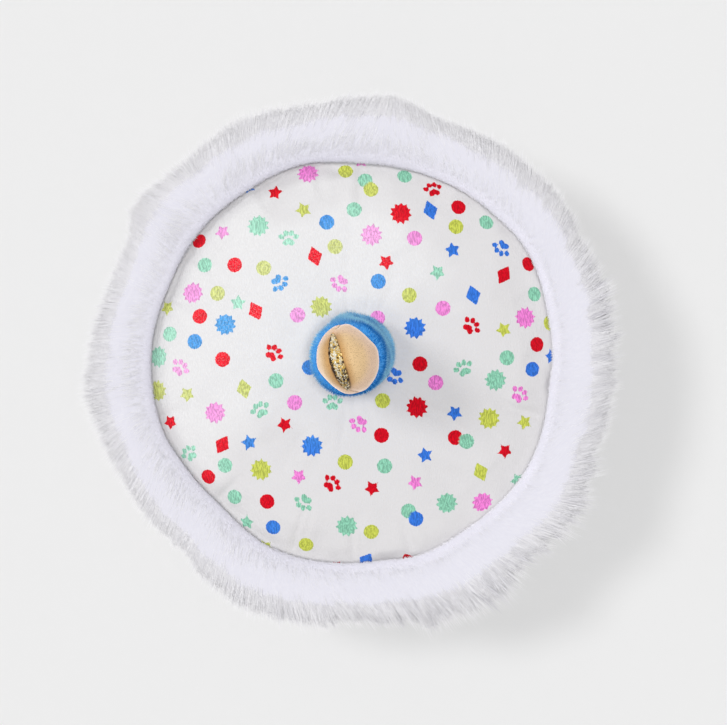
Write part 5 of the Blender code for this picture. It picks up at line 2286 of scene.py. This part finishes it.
@dataclass(frozen=True)
class Studio:
    """A plain pale floor, an even sky, a wide lamp overhead and a narrower one at the upper left."""

    floor: Colour = (0.84, 0.84, 0.84)
    floor_reach: float = 30.0
    grain_scale: float = 900.0
    grain_depth: float = 0.995
    sky: float = 0.24
    lamps: tuple[Lamp, ...] = (
        Lamp("overhead_lamp", 0.0, math.radians(89), math.radians(11), 0.59),
        Lamp("side_lamp", math.radians(158), math.radians(58), math.radians(13), 0.185),
    )

    def build(self) -> None:
        """Adds the floor, the sky and the lamps."""
        material, board, shader = new_material("floor_paper")
        grain = board.noise(board.add("TexCoord").outputs["Object"], Scale=self.grain_scale, Detail=2.0)
        dark = tuple(part * self.grain_depth for part in self.floor)
        paper = board.blend(grain, dark, self.floor)
        board.fill(shader, Base_Color=paper, Roughness=1.0, Specular_IOR_Level=0.0)
        corners = np.array(((-1, -1, 0), (1, -1, 0), (1, 1, 0), (-1, 1, 0))) * self.floor_reach
        floor = make_piece("floor", corners, [np.arange(4)[None]])
        floor.data.materials.append(material)
        world = bpy.data.worlds.new("studio")
        world.use_nodes = True
        background = world.node_tree.nodes["Background"]
        background.inputs[0].default_value = (1.0, 1.0, 1.0, 1.0)
        background.inputs[1].default_value = self.sky
        bpy.context.scene.world = world
        for lamp in self.lamps:
            lamp.build()
        bpy.context.scene.view_settings.view_transform = "Standard"


def main() -> None:
    """Builds the sub-assemblies in order and dresses them."""
    logging.basicConfig(level=logging.INFO, format="%(message)s")
    form, photo = CakeForm(), Photograph()
    photo.add_camera(form.seam_height)
    Studio().build()

    cover = PrintedCover(form, photo, PrintedPile().material())
    cover.top()
    cover.wall()
    cover.base()
    thread = NappedCloth("white_thread", (0.86, 0.86, 0.88), (0.66, 0.66, 0.68), 3000.0, 400.0, 0.2)
    Stitches().closing(cover, thread.material())

    # The fur's deep colours are painted shade at its lip and its left; the hairs' deep colour also deepens
    # random clumps.
    light, dark, deep = (0.85, 0.84, 0.91), (0.81, 0.80, 0.88), (0.56, 0.55, 0.61)
    undercoat = NappedCloth("fur_undercoat", light, dark, 900.0, 60.0, 0.0, deep=deep)
    long_hair = HairFinish("long_fur", (0.90, 0.885, 0.94), (0.985, 0.975, 0.995), (0.64, 0.63, 0.68))
    trim = FurTrim(form, undercoat.material(), long_hair.material())
    trim.backing()
    trim.hair()

    light, dark, sheen = (0.14, 0.48, 0.94), (0.03, 0.30, 0.80), (0.6, 0.85, 1.0)
    plush = NappedCloth("blue_plush", light, dark, 1400.0, 120.0, 0.05, sheen)
    # The candle top's deep blue is painted shade under the flame; the pile's deep blue is painted shade at the
    # rim and the top, and deep streaks below it.
    deep_plush = NappedCloth("blue_plush_top", (0.01, 0.18, 0.60), (0.005, 0.11, 0.44), 1400.0, 120.0, 0.0)
    pile = HairFinish("blue_pile", (0.12, 0.49, 1.0), (0.39, 0.77, 1.0), (0.0, 0.15, 0.54), specular=0.02)
    thread = NappedCloth("blue_thread", (0.08, 0.36, 0.82), (0.03, 0.24, 0.66), 3000.0, 400.0, 0.2)
    seat = Seat((4.2 * MM, 5.9 * MM, 93 * MM), math.radians(5.8), math.radians(216.7))
    candle = Candle(seat, plush.material(), deep_plush.material(), pile.material())
    candle.fuzz(candle.sleeve(), candle.disc())
    Stitches().root(form, candle.foot_radius, thread.material())

    tip = (1.176 * MM, 2.229 * MM, 167.012 * MM)
    seat = Seat(tip, math.radians(10), math.radians(195.3), math.radians(15.3))
    flame = Flame(seat, TanVelour().material(), GoldCloth().material())
    flame.cheek("flame_cheek_left", -1.0)
    flame.cheek("flame_cheek_right", 1.0)
    flame.gold()

    fibre = NappedCloth("fibre_filling", (0.88, 0.88, 0.87), (0.74, 0.74, 0.73), 500.0, 80.0, 0.2)
    filling = Filling(fibre.material())
    filling.cake(form)
    filling.candle(candle)
    filling.flame(flame)
    dress_squeaker(SoftPlastic().material())


if __name__ == "__main__":
    main()
